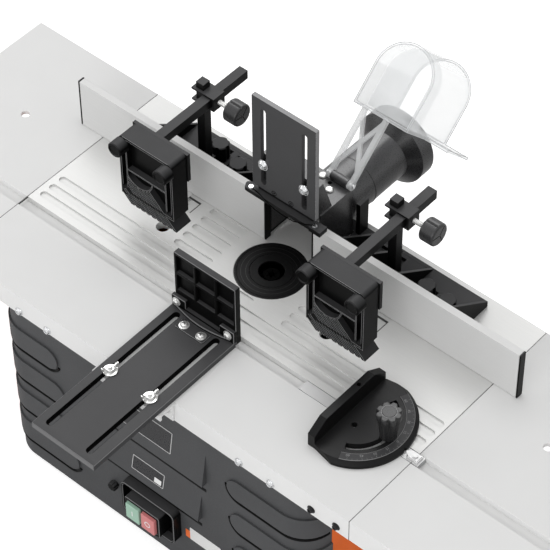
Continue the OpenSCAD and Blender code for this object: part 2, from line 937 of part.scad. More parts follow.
module clear_hood() {
  color([0.85, 0.9, 0.92, 0.35]) at_top() {
    translate([0, 100, 93]) {
      rotate([hood_tilt, 0, 0]) {
        difference() {
          union() {
            for (x = [3, 35]) {
              box(x, x + 6, 0, 91, -3, 3);
              translate([x, 0, 0]) rotate([0, 90, 0]) cylinder(r = 6, h = 6);
            }
            brace(6, 14, 38, 84);
            brace(38, 14, 6, 84);
            box(3, 3 + hood_w, 89, 92, -80, 30);
            box(3 + hood_w - 1, 3 + hood_w + 34, 89, 92, -80, -20);
            translate([0, 0, -80]) {
              linear_extrude(110) {
                difference() {
                  hood_arch(3, 3 + hood_w, 91, 183);
                  hood_arch(3 + hood_wall, 3 + hood_w - hood_wall, 88, 183 - hood_wall);
                }
              }
            }
            translate([0, 0, -1]) {
              linear_extrude(2) hood_arch(3.5, 2.5 + hood_w, 91, 182);
            }
          }
          translate([0, 0, 0]) rotate([0, 90, 0]) cylinder(r = 2.5 + run_fit, h = 60, $fn = 28);
        }
      }
    }
  }
}

module hood_pin() {
  color([0.78, 0.79, 0.8]) at_top() {
    translate([1, 100, 93]) rotate([0, 90, 0]) cylinder(r = 2.5, h = 42, $fn = 28);
  }
}

// Pressers, drawn about the rod centre at zero

module post() {
  color([0.12, 0.12, 0.13]) {
    translate([-14 - post_a / 2, post_y - post_a / 2, floor_t + seat]) cube([post_a, post_a, post_top - floor_t - seat]);
  }
}

module clamp() {
  color([0.14, 0.14, 0.15]) {
    difference() {
      union() {
        box(-24, 11.5, 64, 84, 140.6, 143.2);
        box(-24, 11.5, 64, 84, 123, 125.6);
        box(8.5, 11.5, 64, 84, 123, 143.2);
      }
      translate([-14 - post_a / 2 - 0.15, 74 - post_a / 2 - 0.15, 100]) {
        cube([post_a + 0.3, post_a + 0.3, 60]);
      }
      translate([0, 74, 133]) rotate([0, 90, 0]) cylinder(r = 3 + run_fit, h = 20, $fn = 28);
    }
  }
}

module clamp_knob() {
  color([0.16, 0.16, 0.17]) {
    translate([0, 74, 133]) {
      rotate([0, 90, 0]) {
        translate([0, 0, 7.2]) cylinder(r = 3, h = 24, $fn = 28);
        translate([0, 0, 26]) cylinder(r = 7, h = 4);
        translate([0, 0, 29]) lobed(knob_r, 20, 4, 7);
      }
    }
  }
}

module arm() {
  color([0.13, 0.13, 0.14]) {
    box(-rod_a / 2, rod_a / 2, -19.5, -19.5 + rod_len, 140 - rod_a, 140);
    box(5.5 - comb_w / 2 - 1.5, 5.5 + comb_w / 2 + 1.5, -24, -19, 98, 141.5);
    for (x = [-35.5, 35.5]) {
      translate([5.5 + x, -20, 130]) rotate([90, 0, 0]) cylinder(r = 3, h = 43, $fn = 28);
    }
  }
}

module comb_outline(grow) {
  h = comb_w / 2 + grow;
  r = 6 + grow;
  translate([-h, 50 - grow]) square([2 * h, 86 + grow]);
  translate([-h + r, 130]) square([2 * (h - r), 12 + grow]);
  for (x = [-h + r, h - r]) {
    translate([x, 142 + grow - r]) circle(r, $fn = 24);
  }
  polygon([[-h, 51 - grow], [-h, 45 - grow], [-h + 7, 45 - grow], [-h + 13, 51 - grow]]);
}

module comb_slot_ring(x, grow) {
  r = 3.7 + grow;
  translate([x - r, 60]) square([2 * r, 73]);
  translate([x, 60]) circle(r, $fn = 20);
  translate([x, 133]) circle(r, $fn = 20);
}

// One sloping tooth: a bar at 45 degrees whose lower end is cut level
module comb_tooth(i) {
  x = -23 + i * 8.6;
  polygon([[x - 4.4, comb_tip_z], [x, comb_tip_z], [x - 60, comb_tip_z + 60], [x - 64.4, comb_tip_z + 60]]);
}

// Thin ribs on the front: wall round the edge, ridge, arc and the teeth carried upwards
module comb_ribs() {
  difference() {
    union() {
      difference() {
        comb_outline(0);
        comb_outline(-1.8);
      }
      translate([-30, 90.3]) square([60, 1.4]);
      intersection() {
        difference() {
          translate([-12, 91]) circle(22, $fn = 48);
          translate([-12, 91]) circle(20.6, $fn = 48);
        }
        translate([-31, 60]) square([60, 31]);
      }
      intersection() {
        for (i = [0:8]) {
          comb_tooth(i);
        }
        difference() {
          translate([-comb_w / 2, 50]) square([comb_w, 41]);
          translate([-12, 91]) circle(21, $fn = 48);
          translate([comb_w / 2 - 10.5, 50]) square([12, 60]);
        }
      }
      for (x = [-35.5, 35.5]) {
        comb_slot_ring(x, 1.5);
      }
    }
  }
}

module comb_front(d, y) {
  translate([0, y, 0]) {
    rotate([90, 0, 0]) {
      linear_extrude(d) children();
    }
  }
}

module comb() {
  y0 = -24.3 - comb_d;
  y1 = -24.3;
  h = comb_w / 2;
  color([0.11, 0.11, 0.12]) {
    translate([5.5, 0, 0]) {
      difference() {
        union() {
          comb_front(6, y0 + 14) comb_outline(0);
          comb_front(8.5, y0 + 8.5) comb_ribs();
          comb_front(comb_d, y1) {
            difference() {
              comb_outline(0);
              comb_outline(-3);
            }
          }
          comb_front(comb_d, y1) {
            intersection() {
              for (i = [0:8]) {
                comb_tooth(i);
              }
              translate([-h, 0]) square([2 * h + 6, 56]);
            }
          }
          comb_front(comb_d, y1) {
            for (x = [-35.5, 35.5]) {
              comb_slot_ring(x, 1.5);
            }
          }
        }
        for (x = [-35.5, 35.5]) {
          comb_front(comb_d + 2, y1 + 1) comb_slot_ring(x, 0);
        }
      }
    }
  }
}

module comb_knob(x) {
  color([0.17, 0.17, 0.18]) {
    translate([5.5 + x, -24.3 - comb_d - seat, 130]) {
      rotate([90, 0, 0]) {
        difference() {
          lobed(small_knob_r, 15, 3, 1.2);
          translate([0, 0, 14]) cylinder(r1 = small_knob_r - 3.5, r2 = small_knob_r - 2, h = 1.5);
          translate([0, 0, -1]) cylinder(r = 3 + run_fit, h = 14, $fn = 28);
        }
      }
    }
  }
}

module put_left() {
  translate([left_rod, 0, top]) children();
}

module put_right() {
  translate([right_rod, 0, top]) children();
}

module put_right_rod() {
  translate([right_rod, -9, top]) children();
}

module post_left() {
  put_left() post();
}

module clamp_left() {
  put_left() clamp();
}

module clamp_knob_left() {
  put_left() clamp_knob();
}

module arm_left() {
  put_left() arm();
}

module comb_left() {
  put_left() comb();
}

module comb_knob_left_a() {
  put_left() comb_knob(-35.5);
}

module comb_knob_left_b() {
  put_left() comb_knob(35.5);
}

module post_right() {
  put_right() post();
}

module clamp_right() {
  put_right() clamp();
}

module clamp_knob_right() {
  put_right() clamp_knob();
}

module arm_right() {
  put_right_rod() arm();
}

module comb_right() {
  put_right_rod() comb();
}

module comb_knob_right_a() {
  put_right_rod() comb_knob(-35.5);
}

module comb_knob_right_b() {
  put_right_rod() comb_knob(35.5);
}

// Side presser

module slide_bracket() {
  color([0.82, 0.82, 0.82]) at_top() {
    difference() {
      union() {
        box(-56, 50, -table_front - 26, -table_front - 0.3, -3, 0);
        box(-56, 50, -table_front - 26, -table_front - 23, -9, 0);
        box(-54, 48, -table_front - 3.3, -table_front - 0.3, -31, 0);
      }
      for (x = [-45, 44]) {
        translate([x, -table_front + 4, -20]) rotate([90, 0, 0]) cylinder(r = 2.8, h = 20, $fn = 16);
      }
    }
    for (x = [-34, 28]) {
      translate([x, -243, -2]) cylinder(r = 3, h = slide_t + 10, $fn = 28);
    }
    for (x = [-45, 44]) {
      translate([x, -table_front - 3.3, -20]) rotate([90, 0, 0]) cylinder(r1 = 4.6, r2 = 3.6, h = 3);
      translate([x, -table_front + 2, -20]) rotate([90, 0, 0]) cylinder(r = 2.4, h = 7, $fn = 16);
    }
  }
}

module slide_plate() {
  x0 = -50;
  x1 = x0 + slide_w;
  z1 = 0.3 + slide_t;
  color([0.27, 0.27, 0.28]) at_top() {
    difference() {
      union() {
        box(x0, x1, -356, -117, 0.3, z1);
        // upturned ears that carry the shoe
        box(x0, x0 + 22, -121, -116.3, z1 - 1, z1 + 18);
        box(x1 - 22, x1, -121, -116.3, z1 - 1, z1 + 18);
        box(x0 + 14, x1 - 14, -121, -116.3, z1 - 1, z1 + 6);
        // upright shoe, a ribbed moulding
        difference() {
          box(x0 + 2, x1 - 0.5, -116.3, -108, 1, shoe_h);
          box(x0 + 6, -18, -120, -111.5, 34, 60);
          box(-14, 14, -120, -111.5, 34, 60);
          box(18, x1 - 4, -120, -111.5, 34, 60);
          box(x0 + 6, -18, -120, -111.5, 64, shoe_h - 4);
          box(-14, 14, -120, -111.5, 64, shoe_h - 4);
          box(18, x1 - 4, -120, -111.5, 64, shoe_h - 4);
        }
        for (x = [-42, 38]) {
          translate([x, -120.5, z1 + 10]) rotate([90, 0, 0]) cylinder(r = 4.2, h = 3.6);
        }
      }
      slot_y(-34, -346, -127, 8.4, -5, 20);
      slot_y(28, -346, -127, 8.4, -5, 20);
      for (x = [-15.8, 10.4]) {
        translate([x, -137, 1.5]) cylinder(r = 2.4 + run_fit, h = 20, $fn = 24);
      }
    }
    // stop screws, their shanks in the plate
    for (x = [-15.8, 10.4]) {
      translate([x, -137, 2]) cylinder(r = 2.4, h = z1, $fn = 24);
      translate([x, -137, z1 + seat]) cylinder(r = 5.5, h = 1);
      translate([x, -137, z1 + seat]) cylinder(r = 4, h = 4.2);
    }
  }
}

module wing_nut(x) {
  color([0.82, 0.83, 0.84]) at_top() {
    translate([x, -243, 0.3 + slide_t + seat]) {
      difference() {
        union() {
          cylinder(r = 9, h = 1.4);
          translate([0, 0, 1.2]) cylinder(r1 = 6, r2 = 4.8, h = 5.6);
          rotate([0, 0, 40]) {
            for (s = [-1, 1]) {
              translate([0, 1.2, 0]) {
                rotate([90, 0, 0]) {
                  linear_extrude(2.4) {
                    polygon([[s * 2.5, 2.4], [s * 4, 6.5], [s * 7.5, 13.5], [s * 10.5, 13.5], [s * 11, 10.5], [s * 6.5, 2.4]]);
                  }
                }
              }
            }
          }
        }
        translate([0, 0, -1]) cylinder(r = 3 + run_fit, h = 30, $fn = 28);
      }
    }
  }
}

module wing_nut_left() {
  wing_nut(-34);
}

module wing_nut_right() {
  wing_nut(28);
}

// Mitre gauge

module mitre_bar() {
  color([0.8, 0.81, 0.81]) at_top() {
    difference() {
      union() {
        box(142, 316, -slot_front + 0.6, -slot_rear - 0.6, -slot_depth + 0.5, 0);
        translate([gauge_x + gauge_slot_r, gauge_y, -1]) cylinder(r = 3, h = 50, $fn = 28);
        translate([gauge_x, gauge_y, -1]) cylinder(r = 4, h = 7.5, $fn = 28);
        // pointer block at the end of the arc
        box(300, 314, gauge_y - 6, gauge_y + 6, -1, 3);
        translate([0, 0, 3]) {
          linear_extrude(1.2) {
            polygon([[294.6, gauge_y - 0.6], [294.6, gauge_y + 0.6], [301, gauge_y + 5],
              [313, gauge_y + 5], [313, gauge_y - 5], [301, gauge_y - 5]]);
          }
        }
        translate([307, gauge_y, 3]) cylinder(r = 3.4, h = 3.4, $fn = 24);
      }
    }
  }
}

module mitre_head() {
  color([0.13, 0.13, 0.14]) at_top() {
    translate([gauge_x, gauge_y, 0.5]) {
      difference() {
        union() {
          intersection() {
            union() {
              cylinder(r = arc_r, h = 4, $fn = 72);
              translate([0, 0, 4]) cylinder(r1 = arc_r, r2 = arc_r - 5, h = 4.5, $fn = 72);
            }
            linear_extrude(8.5) {
              polygon([[-19, -63], [-9, -63], [22, -arc_r + 2], [arc_r, -arc_r + 2], [arc_r, arc_r - 2],
                [22, arc_r - 2], [-9, 63], [-19, 63]]);
            }
          }
          // upright gauge fence with chamfered ends
          translate([-19, 0, 0]) {
            rotate([90, 0, 90]) {
              linear_extrude(10) {
                polygon([[-63, 0], [63, 0], [63, 20], [42, gauge_h - 0.5], [-42, gauge_h - 0.5], [-63, 20]]);
              }
            }
          }
        }
        // curved slot for the clamping stud
        difference() {
          intersection() {
            translate([0, 0, -2]) cylinder(r = gauge_slot_r + 4, h = 20, $fn = 64);
            translate([-1, 0, -2]) {
              linear_extrude(20) {
                polygon([[0, 0], [44, -95], [120, -95], [120, 95], [44, 95]]);
              }
            }
          }
          translate([0, 0, -3]) cylinder(r = gauge_slot_r - 4, h = 22, $fn = 64);
        }
        translate([0, 0, -2]) cylinder(r = 4 + run_fit, h = 8.5, $fn = 28);
        translate([7, -12.5, -2]) cylinder(r = 3.4, h = 20, $fn = 24);
        translate([-14, 20, 12]) cylinder(r = 2.6, h = 40, $fn = 20);
        translate([arc_r + 2, 0, -2]) rotate([0, 0, 45]) box(-3, 3, -3, 3, 0, 20);
      }
    }
  }
}

module mitre_knob() {
  color([0.17, 0.17, 0.18]) at_top() {
    translate([gauge_x + gauge_slot_r, gauge_y, 9.3]) {
      difference() {
        union() {
          cylinder(r = 10, h = 5);
          translate([0, 0, 4]) lobed(gauge_knob_r - 1, 24, 8, 3.6);
          translate([0, 0, 27]) lobed(gauge_knob_r, 15, 8, 4.2);
        }
        translate([0, 0, -1]) cylinder(r = 3 + run_fit, h = 41, $fn = 28);
        translate([0, 0, 40.6]) cylinder(r1 = gauge_knob_r - 7, r2 = gauge_knob_r - 5.5, h = 2);
      }
    }
  }
}

// Switch

module switch_tray() {
  y = -body_front - seat;
  color([0.09, 0.09, 0.1]) at_top() {
    difference() {
      union() {
        box(3 - tray_w / 2, 3 + tray_w / 2, y - 3, y, -266, -209);
        difference() {
          box(3 - tray_w / 2, 3 + tray_w / 2, y - 13.5, y, -266, -209);
          box(6 - tray_w / 2, tray_w / 2, y - 20, y + 1, -263, -212);
        }
        box(-24, 32, y - 24, y - 2, -254, -216);
      }
      box(-19.6, 2.6, y - 30, y - 14, -249, -221);
      box(5.4, 27.6, y - 30, y - 14, -249, -221);
      box(-10.6, -6.4, y - 15, y + 1, -237.2, -232.8);
      box(14.4, 18.6, y - 15, y + 1, -237.2, -232.8);
      for (x = [-33, 39]) {
        translate([x, y + 1, -237]) rotate([90, 0, 0]) cylinder(r = 2.6, h = 10, $fn = 20);
      }
    }
  }
}

module button(x0) {
  y = -body_front - seat;
  box(x0, x0 + 21.6, y - 28, y - 14 - button_travel - 0.3, -248.7, -221.3);
  box(x0 + 9, x0 + 12.6, y - 20, y - 1, -236.8, -233.2);
}

module button_green() {
  color([0.45, 0.66, 0.52]) at_top() button(-19.3);
}

module button_red() {
  color([0.8, 0.2, 0.2]) at_top() button(5.7);
}

module reset_button() {
  color([0.1, 0.1, 0.1]) at_top() {
    translate([-62.5, -body_front, -247.5]) {
      rotate([90, 0, 0]) {
        translate([0, 0, 2.6]) cylinder(r = 6.6, h = 6.4);
        translate([0, 0, -8]) cylinder(r = 4.95, h = 11);
      }
    }
  }
}

body_shell();
side_panel_left();
side_panel_right();
feet();
ribbed_plate();
front_plate();
wing_left();
wing_right();
wing_brackets();
table_screws();
ring_outer();
ring_inner();
lift_frame();
motor_carrier();
motor();
spindle_shaft();
spindle_nut();
lift_screw();
handwheel();
handwheel_grip();
fence_left();
fence_right();
fence_cap_left();
fence_cap_right();
fence_carrier();
dust_housing();
dust_port();
lock_knob_a();
lock_knob_b();
lock_knob_c();
lock_knob_d();
guard_plate();
guard_screws();
clear_hood();
hood_pin();
post_left();
clamp_left();
clamp_knob_left();
arm_left();
comb_left();
comb_knob_left_a();
comb_knob_left_b();
post_right();
clamp_right();
clamp_knob_right();
arm_right();
comb_right();
comb_knob_right_a();
comb_knob_right_b();
slide_bracket();
slide_plate();
wing_nut_left();
wing_nut_right();
mitre_bar();
mitre_head();
mitre_knob();
switch_tray();
button_green();
button_red();
reset_button();
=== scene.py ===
import bpy
import bmesh
import json
import math
from mathutils import Vector, Matrix


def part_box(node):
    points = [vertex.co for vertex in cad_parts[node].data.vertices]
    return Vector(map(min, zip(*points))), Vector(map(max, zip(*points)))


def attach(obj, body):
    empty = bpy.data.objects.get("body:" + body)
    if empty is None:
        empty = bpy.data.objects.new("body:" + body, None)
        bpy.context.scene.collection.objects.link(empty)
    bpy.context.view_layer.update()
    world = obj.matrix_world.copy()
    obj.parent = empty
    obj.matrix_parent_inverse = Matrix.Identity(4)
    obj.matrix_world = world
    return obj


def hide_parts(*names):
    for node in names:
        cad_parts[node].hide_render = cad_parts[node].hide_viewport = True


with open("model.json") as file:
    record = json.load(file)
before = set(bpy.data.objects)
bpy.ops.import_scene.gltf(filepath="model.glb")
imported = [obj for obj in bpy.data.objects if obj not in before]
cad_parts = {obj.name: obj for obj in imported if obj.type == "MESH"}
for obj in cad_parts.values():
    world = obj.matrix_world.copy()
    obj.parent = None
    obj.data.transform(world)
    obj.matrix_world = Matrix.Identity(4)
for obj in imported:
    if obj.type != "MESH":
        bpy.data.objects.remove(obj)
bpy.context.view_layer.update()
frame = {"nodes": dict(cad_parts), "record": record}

NODES = frame["nodes"]
RECORD = frame["record"]
BODY_OF = {n: b for b, ns in RECORD["behaviour"]["bodies"].items() for n in ns}
SLOT_OF = {s["node"]: s["material_slot"] for s in RECORD["subparts"]}

# Sizes in this script are millimetres from the spindle axis at the table top: x right, y back, z up
MM = 1000.0
TOP = 317.0                # table top over the floor
LIFT = Vector((0, 0, TOP))

BODY_FRONT = -222.0        # front sheet of the body
PLATE_TOP = 8.3            # upper face of the side presser's plate
SLOT_X = (-34, 28)         # middles of its two slots
NUT_Y, NUT_Z = -243, 8.6   # its wing nuts
GAUGE_X, GAUGE_Y = 222.0, -109.55
HINGE_Y, HINGE_Z = 100, 93
HOOD_LINE = (0.731, 0.682)     # y and z of the direction in which the hood's arms run at rest

# Camera, solved from the edges of the table in the photograph

LENS, SENSOR = 169.573, 36.0
CAM_AT = (1.36498, -1.55531, 2.28725)
right = Vector((0.756587, 0.653873, -0.005096))
up = -Vector((0.483038, -0.564135, -0.669646))
back = -Vector((-0.440738, 0.504184, -0.742663))

scene = bpy.context.scene
cam_data = bpy.data.cameras.new("camera")
cam_data.sensor_width = SENSOR
cam_data.lens = LENS
cam_data.clip_start = 0.1
cam_data.clip_end = 50.0
cam = bpy.data.objects.new("camera", cam_data)
scene.collection.objects.link(cam)
cam.matrix_world = Matrix((
    (right.x, up.x, back.x, CAM_AT[0]),
    (right.y, up.y, back.y, CAM_AT[1]),
    (right.z, up.z, back.z, CAM_AT[2] + TOP / MM),
    (0, 0, 0, 1)))
scene.camera = cam

# Shader helpers


def feed(nt, socket, value):
    """A socket is fed by another socket or holds a plain value."""
    if isinstance(value, bpy.types.NodeSocket):
        nt.links.new(value, socket)
    else:
        socket.default_value = value


def maths(nt, operation, a, b):
    n = nt.nodes.new("ShaderNodeMath")
    n.operation = operation
    feed(nt, n.inputs[0], a)
    feed(nt, n.inputs[1], b)
    return n.outputs[0]


def blend(nt, mode, factor, a, b):
    """Two colours in one."""
    n = nt.nodes.new("ShaderNodeMix")
    n.data_type = "RGBA"
    n.blend_type = mode
    feed(nt, n.inputs["Factor"], factor)
    feed(nt, n.inputs["A"], a)
    feed(nt, n.inputs["B"], b)
    return n.outputs["Result"]


def noise(nt, scale, detail, stretch=(1, 1, 1), rough=0.5):
    tc = nt.nodes.new("ShaderNodeTexCoord")
    mp = nt.nodes.new("ShaderNodeMapping")
    mp.inputs["Scale"].default_value = stretch
    nt.links.new(tc.outputs["Object"], mp.inputs["Vector"])
    n = nt.nodes.new("ShaderNodeTexNoise")
    n.inputs["Scale"].default_value = scale
    n.inputs["Detail"].default_value = detail
    n.inputs["Roughness"].default_value = rough
    nt.links.new(mp.outputs["Vector"], n.inputs["Vector"])
    return n.outputs["Fac"]


def ramp(nt, fac, p0, c0, p1, c1):
    """From colour c0 at p0 to colour c1 at p1."""
    r = nt.nodes.new("ShaderNodeValToRGB")
    for e, p, c in zip(r.color_ramp.elements, (p0, p1), (c0, c1)):
        e.position = p
        e.color = (*c, 1)
    nt.links.new(fac, r.inputs["Fac"])
    return r.outputs["Color"]


def span(nt, fac, lo, hi, from_lo=0.3, from_hi=0.7):
    m = nt.nodes.new("ShaderNodeMapRange")
    m.inputs["From Min"].default_value = from_lo
    m.inputs["From Max"].default_value = from_hi
    m.inputs["To Min"].default_value = lo
    m.inputs["To Max"].default_value = hi
    nt.links.new(fac, m.inputs["Value"])
    return m.outputs["Result"]


def bump(nt, bsdf, fac, strength, distance):
    b = nt.nodes.new("ShaderNodeBump")
    b.inputs["Strength"].default_value = strength
    b.inputs["Distance"].default_value = distance
    nt.links.new(fac, b.inputs["Height"])
    nt.links.new(b.outputs["Normal"], bsdf.inputs["Normal"])


# Light

WHITE = (1, 1, 1, 1)
WORLD_SOFT = 0.62          # what the pieces get from the surroundings
WORLD_SEEN = 1.0           # what is seen directly, in mirrors and through clear plastic
FLOOR_GLOW = 0.62          # brings the seen floor to white and leaves its shadow
AIM = (0, 0, 0.3)

scene.view_settings.view_transform = "Standard"
scene.world = bpy.data.worlds.new("studio")
scene.world.use_nodes = True
wt = scene.world.node_tree
wt.nodes.clear()
rays = wt.nodes.new("ShaderNodeLightPath").outputs
seen = maths(wt, "MAXIMUM", rays["Is Camera Ray"], rays["Is Transmission Ray"])
seen = maths(wt, "MAXIMUM", seen, rays["Is Glossy Ray"])
either = wt.nodes.new("ShaderNodeMixShader")
wt.links.new(seen, either.inputs[0])
for k, strength in ((1, WORLD_SOFT), (2, WORLD_SEEN)):
    sky = wt.nodes.new("ShaderNodeBackground")
    sky.inputs["Color"].default_value = WHITE
    sky.inputs["Strength"].default_value = strength
    wt.links.new(sky.outputs[0], either.inputs[k])
wt.links.new(either.outputs[0], wt.nodes.new("ShaderNodeOutputWorld").inputs[0])


def area(name, loc, size, power):
    """A rectangular lamp that looks at the machine."""
    data = bpy.data.lights.new(name, "AREA")
    data.shape = "RECTANGLE"
    data.size, data.size_y = size
    data.energy = power
    ob = bpy.data.objects.new(name, data)
    scene.collection.objects.link(ob)
    ob.location = loc
    ob.rotation_mode = "QUATERNION"
    ob.rotation_quaternion = (Vector(AIM) - Vector(loc)).to_track_quat("-Z", "Y")
    return ob


area("key_top", (-0.6, 0.6, 3.2), (2.6, 2.2), 20)
area("fill_front", (0.9, -3.0, 1.7), (3.0, 1.6), 36)
area("fill_left", (-2.6, -1.2, 1.3), (1.6, 1.4), 12)
area("sheen", (-1.55, 1.8, 2.95), (2.8, 2.2), 75).visible_diffuse = False

# Finishes


def new_mat(name):
    m = bpy.data.materials.new(name)
    m.use_nodes = True
    return m, m.node_tree, m.node_tree.nodes["Principled BSDF"]


def shade(c, k):
    return tuple(min(1.0, max(0.0, v * k)) for v in c)


def settled(nt, color, top_sheen, cloud):
    """Painted sheen: faces that look up are made paler, more strongly in clouds."""
    tc = nt.nodes.new("ShaderNodeTexCoord")
    sep = nt.nodes.new("ShaderNodeSeparateXYZ")
    nt.links.new(tc.outputs["Normal"], sep.inputs[0])
    upward = span(nt, sep.outputs["Z"], 0.0, 1.0, 0.35, 0.95)
    amount = maths(nt, "MULTIPLY", upward, span(nt, cloud, 0.75, 1.0))
    return blend(nt, "MIX", amount, color, (top_sheen, top_sheen, top_sheen * 1.03, 1))


def plain(name, col, rough, grain, depth, metal=0.0, vary=0.06, spec=0.5, top_sheen=0.0):
    """A finish with cloudy colour and gloss variation and a fine surface grain of the given depth."""
    m, nt, b = new_mat(name)
    cloud = noise(nt, 14.0, 4.0)
    tone = ramp(nt, cloud, 0.3, shade(col, 1 - vary), 0.7, shade(col, 1 + vary))
    # faces that look up get a painted sheen
    if top_sheen:
        tone = settled(nt, tone, top_sheen, cloud)
    nt.links.new(tone, b.inputs["Base Color"])
    fine = noise(nt, grain, 2.0)
    nt.links.new(span(nt, fine, rough - 0.06, rough + 0.06), b.inputs["Roughness"])
    b.inputs["Metallic"].default_value = metal
    b.inputs["Specular IOR Level"].default_value = spec
    bump(nt, b, fine, 0.25, depth)
    return m


def brushed(name, col, rough, metal, spec=0.5):
    """Metal with fine lines along x and faint cloudy patches."""
    m, nt, b = new_mat(name)
    lines = noise(nt, 9.0, 6.0, (3, 260, 260), 0.7)
    cloud = noise(nt, 6.0, 5.0)
    line_tone = ramp(nt, lines, 0.25, shade(col, 0.95), 0.75, shade(col, 1.05))
    cloud_tone = ramp(nt, cloud, 0.3, (0.96, 0.96, 0.96), 0.7, (1.0, 1.0, 1.0))
    nt.links.new(blend(nt, "MULTIPLY", 1.0, line_tone, cloud_tone), b.inputs["Base Color"])
    nt.links.new(span(nt, lines, rough - 0.06, rough + 0.08), b.inputs["Roughness"])
    b.inputs["Metallic"].default_value = metal
    b.inputs["Specular IOR Level"].default_value = spec
    bump(nt, b, lines, 0.2, 0.00003)
    return m


def clear(name, col, rough, ior, alpha):
    m, nt, b = new_mat(name)
    b.inputs["Base Color"].default_value = (*col, 1)
    b.inputs["Roughness"].default_value = rough
    b.inputs["IOR"].default_value = ior
    b.inputs["Alpha"].default_value = alpha
    b.inputs["Specular IOR Level"].default_value = 0.9
    return m


def by_name(*mats):
    """Finishes by the names they were made with. The CAD import already holds the slots' names, so
    Blender may have put a number after a dot."""
    return {m.name.split(".")[0]: m for m in mats}


# Finishes of the record's material slots
M = by_name(
    plain("charcoal_paint", (0.072, 0.073, 0.076), 0.5, 700, 0.00006, spec=0.14),
    plain("orange_paint", (0.86, 0.15, 0.012), 0.4, 700, 0.00005, spec=0.15),
    plain("light_plate", (0.79, 0.79, 0.785), 0.5, 500, 0.00004, vary=0.012, spec=0.05),
    brushed("table_metal", (0.70, 0.70, 0.69), 0.42, 0.12, spec=0.12),
    brushed("fence_aluminium", (0.70, 0.70, 0.695), 0.45, 0.03, spec=0.08),
    plain("cast_grey", (0.16, 0.17, 0.18), 0.6, 300, 0.0003, metal=0.3),
    plain("dark_paint", (0.007, 0.007, 0.0073), 0.34, 600, 0.00005, spec=0.08, top_sheen=0.06),
    brushed("ground_steel", (0.5, 0.5, 0.51), 0.32, 0.9),
    plain("zinc", (0.74, 0.75, 0.76), 0.24, 400, 0.00004, metal=0.95, vary=0.05),
    plain("black_plastic", (0.003, 0.003, 0.0031), 0.34, 1100, 0.00006, spec=0.06, top_sheen=0.06),
    plain("satin_plastic", (0.008, 0.008, 0.0083), 0.38, 900, 0.00008, spec=0.08, top_sheen=0.06),
    plain("rubber", (0.02, 0.02, 0.02), 0.75, 500, 0.0001, spec=0.2),
    plain("green_plastic", (0.36, 0.56, 0.44), 0.35, 700, 0.00004),
    plain("red_plastic", (0.66, 0.22, 0.22), 0.35, 700, 0.00004),
    clear("clear_plastic", (0.97, 0.985, 0.99), 0.03, 1.1, 0.28))

# Finishes of single pieces and small details. Edges of dark mouldings get a paler finish, a painted highlight
# where they catch the light
X = by_name(
    plain("black_plastic_edge", (0.17, 0.17, 0.173), 0.3, 900, 0.00003, spec=0.4),
    plain("satin_plastic_edge", (0.22, 0.22, 0.223), 0.3, 900, 0.00003, spec=0.4),
    plain("bright", (0.70, 0.70, 0.69), 0.22, 300, 0.00004, metal=0.55, vary=0.08),
    plain("plate_slate", (0.060, 0.060, 0.062), 0.45, 700, 0.00005, spec=0.12),
    plain("grip_black", (0.030, 0.030, 0.031), 0.3, 900, 0.00005, spec=0.35, top_sheen=0.05),
    plain("knob_dark", (0.016, 0.016, 0.0165), 0.3, 900, 0.00005, spec=0.35, top_sheen=0.018),
    plain("mark_grey", (0.20, 0.20, 0.20), 0.5, 900, 0.00002),
    plain("shadow_black", (0.004, 0.004, 0.004), 0.35, 900, 0.00002, spec=0.06),
    plain("hood_edge", (0.50, 0.51, 0.52), 0.2, 900, 0.00002),
    plain("ring_line", (0.022, 0.022, 0.022), 0.4, 900, 0.00002),
    plain("black_steel", (0.02, 0.02, 0.021), 0.4, 500, 0.00004, metal=0.5, spec=0.3),
    plain("guard_edge_highlight", (0.24, 0.24, 0.245), 0.45, 600, 0.00004, spec=0.3),
    plain("plate_dark", (0.022, 0.022, 0.024), 0.3, 900, 0.00003, spec=0.4),
    plain("plate_white", (0.8, 0.8, 0.79), 0.35, 900, 0.00002, vary=0.01),
    plain("mark_paint", (0.03, 0.03, 0.03), 0.5, 900, 0.00002),
    plain("black_and_painted_shade", (0.002, 0.002, 0.002), 0.5, 900, 0.00002, spec=0.02),
    plain("ring_black", (0.004, 0.004, 0.0041), 0.4, 900, 0.00003, spec=0.10, top_sheen=0.010),
    plain("gauge_black", (0.005, 0.005, 0.0051), 0.35, 900, 0.00004, spec=0.12, top_sheen=0.012),
    plain("end_grey", (0.16, 0.16, 0.162), 0.45, 700, 0.00005, spec=0.12),
    plain("gloss_black", (0.022, 0.022, 0.023), 0.3, 900, 0.00003, spec=0.5, top_sheen=0.10),
    plain("guard_grey", (0.058, 0.058, 0.060), 0.42, 900, 0.00003, spec=0.15),
    plain("pale_steel", (0.62, 0.62, 0.62), 0.4, 500, 0.00003, metal=0.2, spec=0.3),
    plain("screw_recess_shade", (0.12, 0.12, 0.12), 0.5, 500, 0.00003),
    plain("label_orange", (0.86, 0.15, 0.012), 0.4, 900, 0.00002),
    plain("mark_light", (0.55, 0.55, 0.55), 0.5, 900, 0.00002),
    clear("clear_arm", (0.86, 0.87, 0.875), 0.1, 1.2, 0.5))

# Helpers for pieces

SHARP = math.radians(50.0)         # an edge over it stays sharp in the shading
SOFTENED = math.radians(25.0)      # an edge over it gets a bevel
FLAT = math.radians(0.6)           # faces that turn less are joined
WELD = 1e-6                        # metres


def finish_mesh(bm, name):
    """Smooth faces between sharp edges."""
    bm.normal_update()
    for f in bm.faces:
        f.smooth = True
    for e in bm.edges:
        e.smooth = not (len(e.link_faces) == 2 and e.calc_face_angle(0.0) > SHARP)
    me = bpy.data.meshes.new(name)
    bm.to_mesh(me)
    bm.free()
    return me


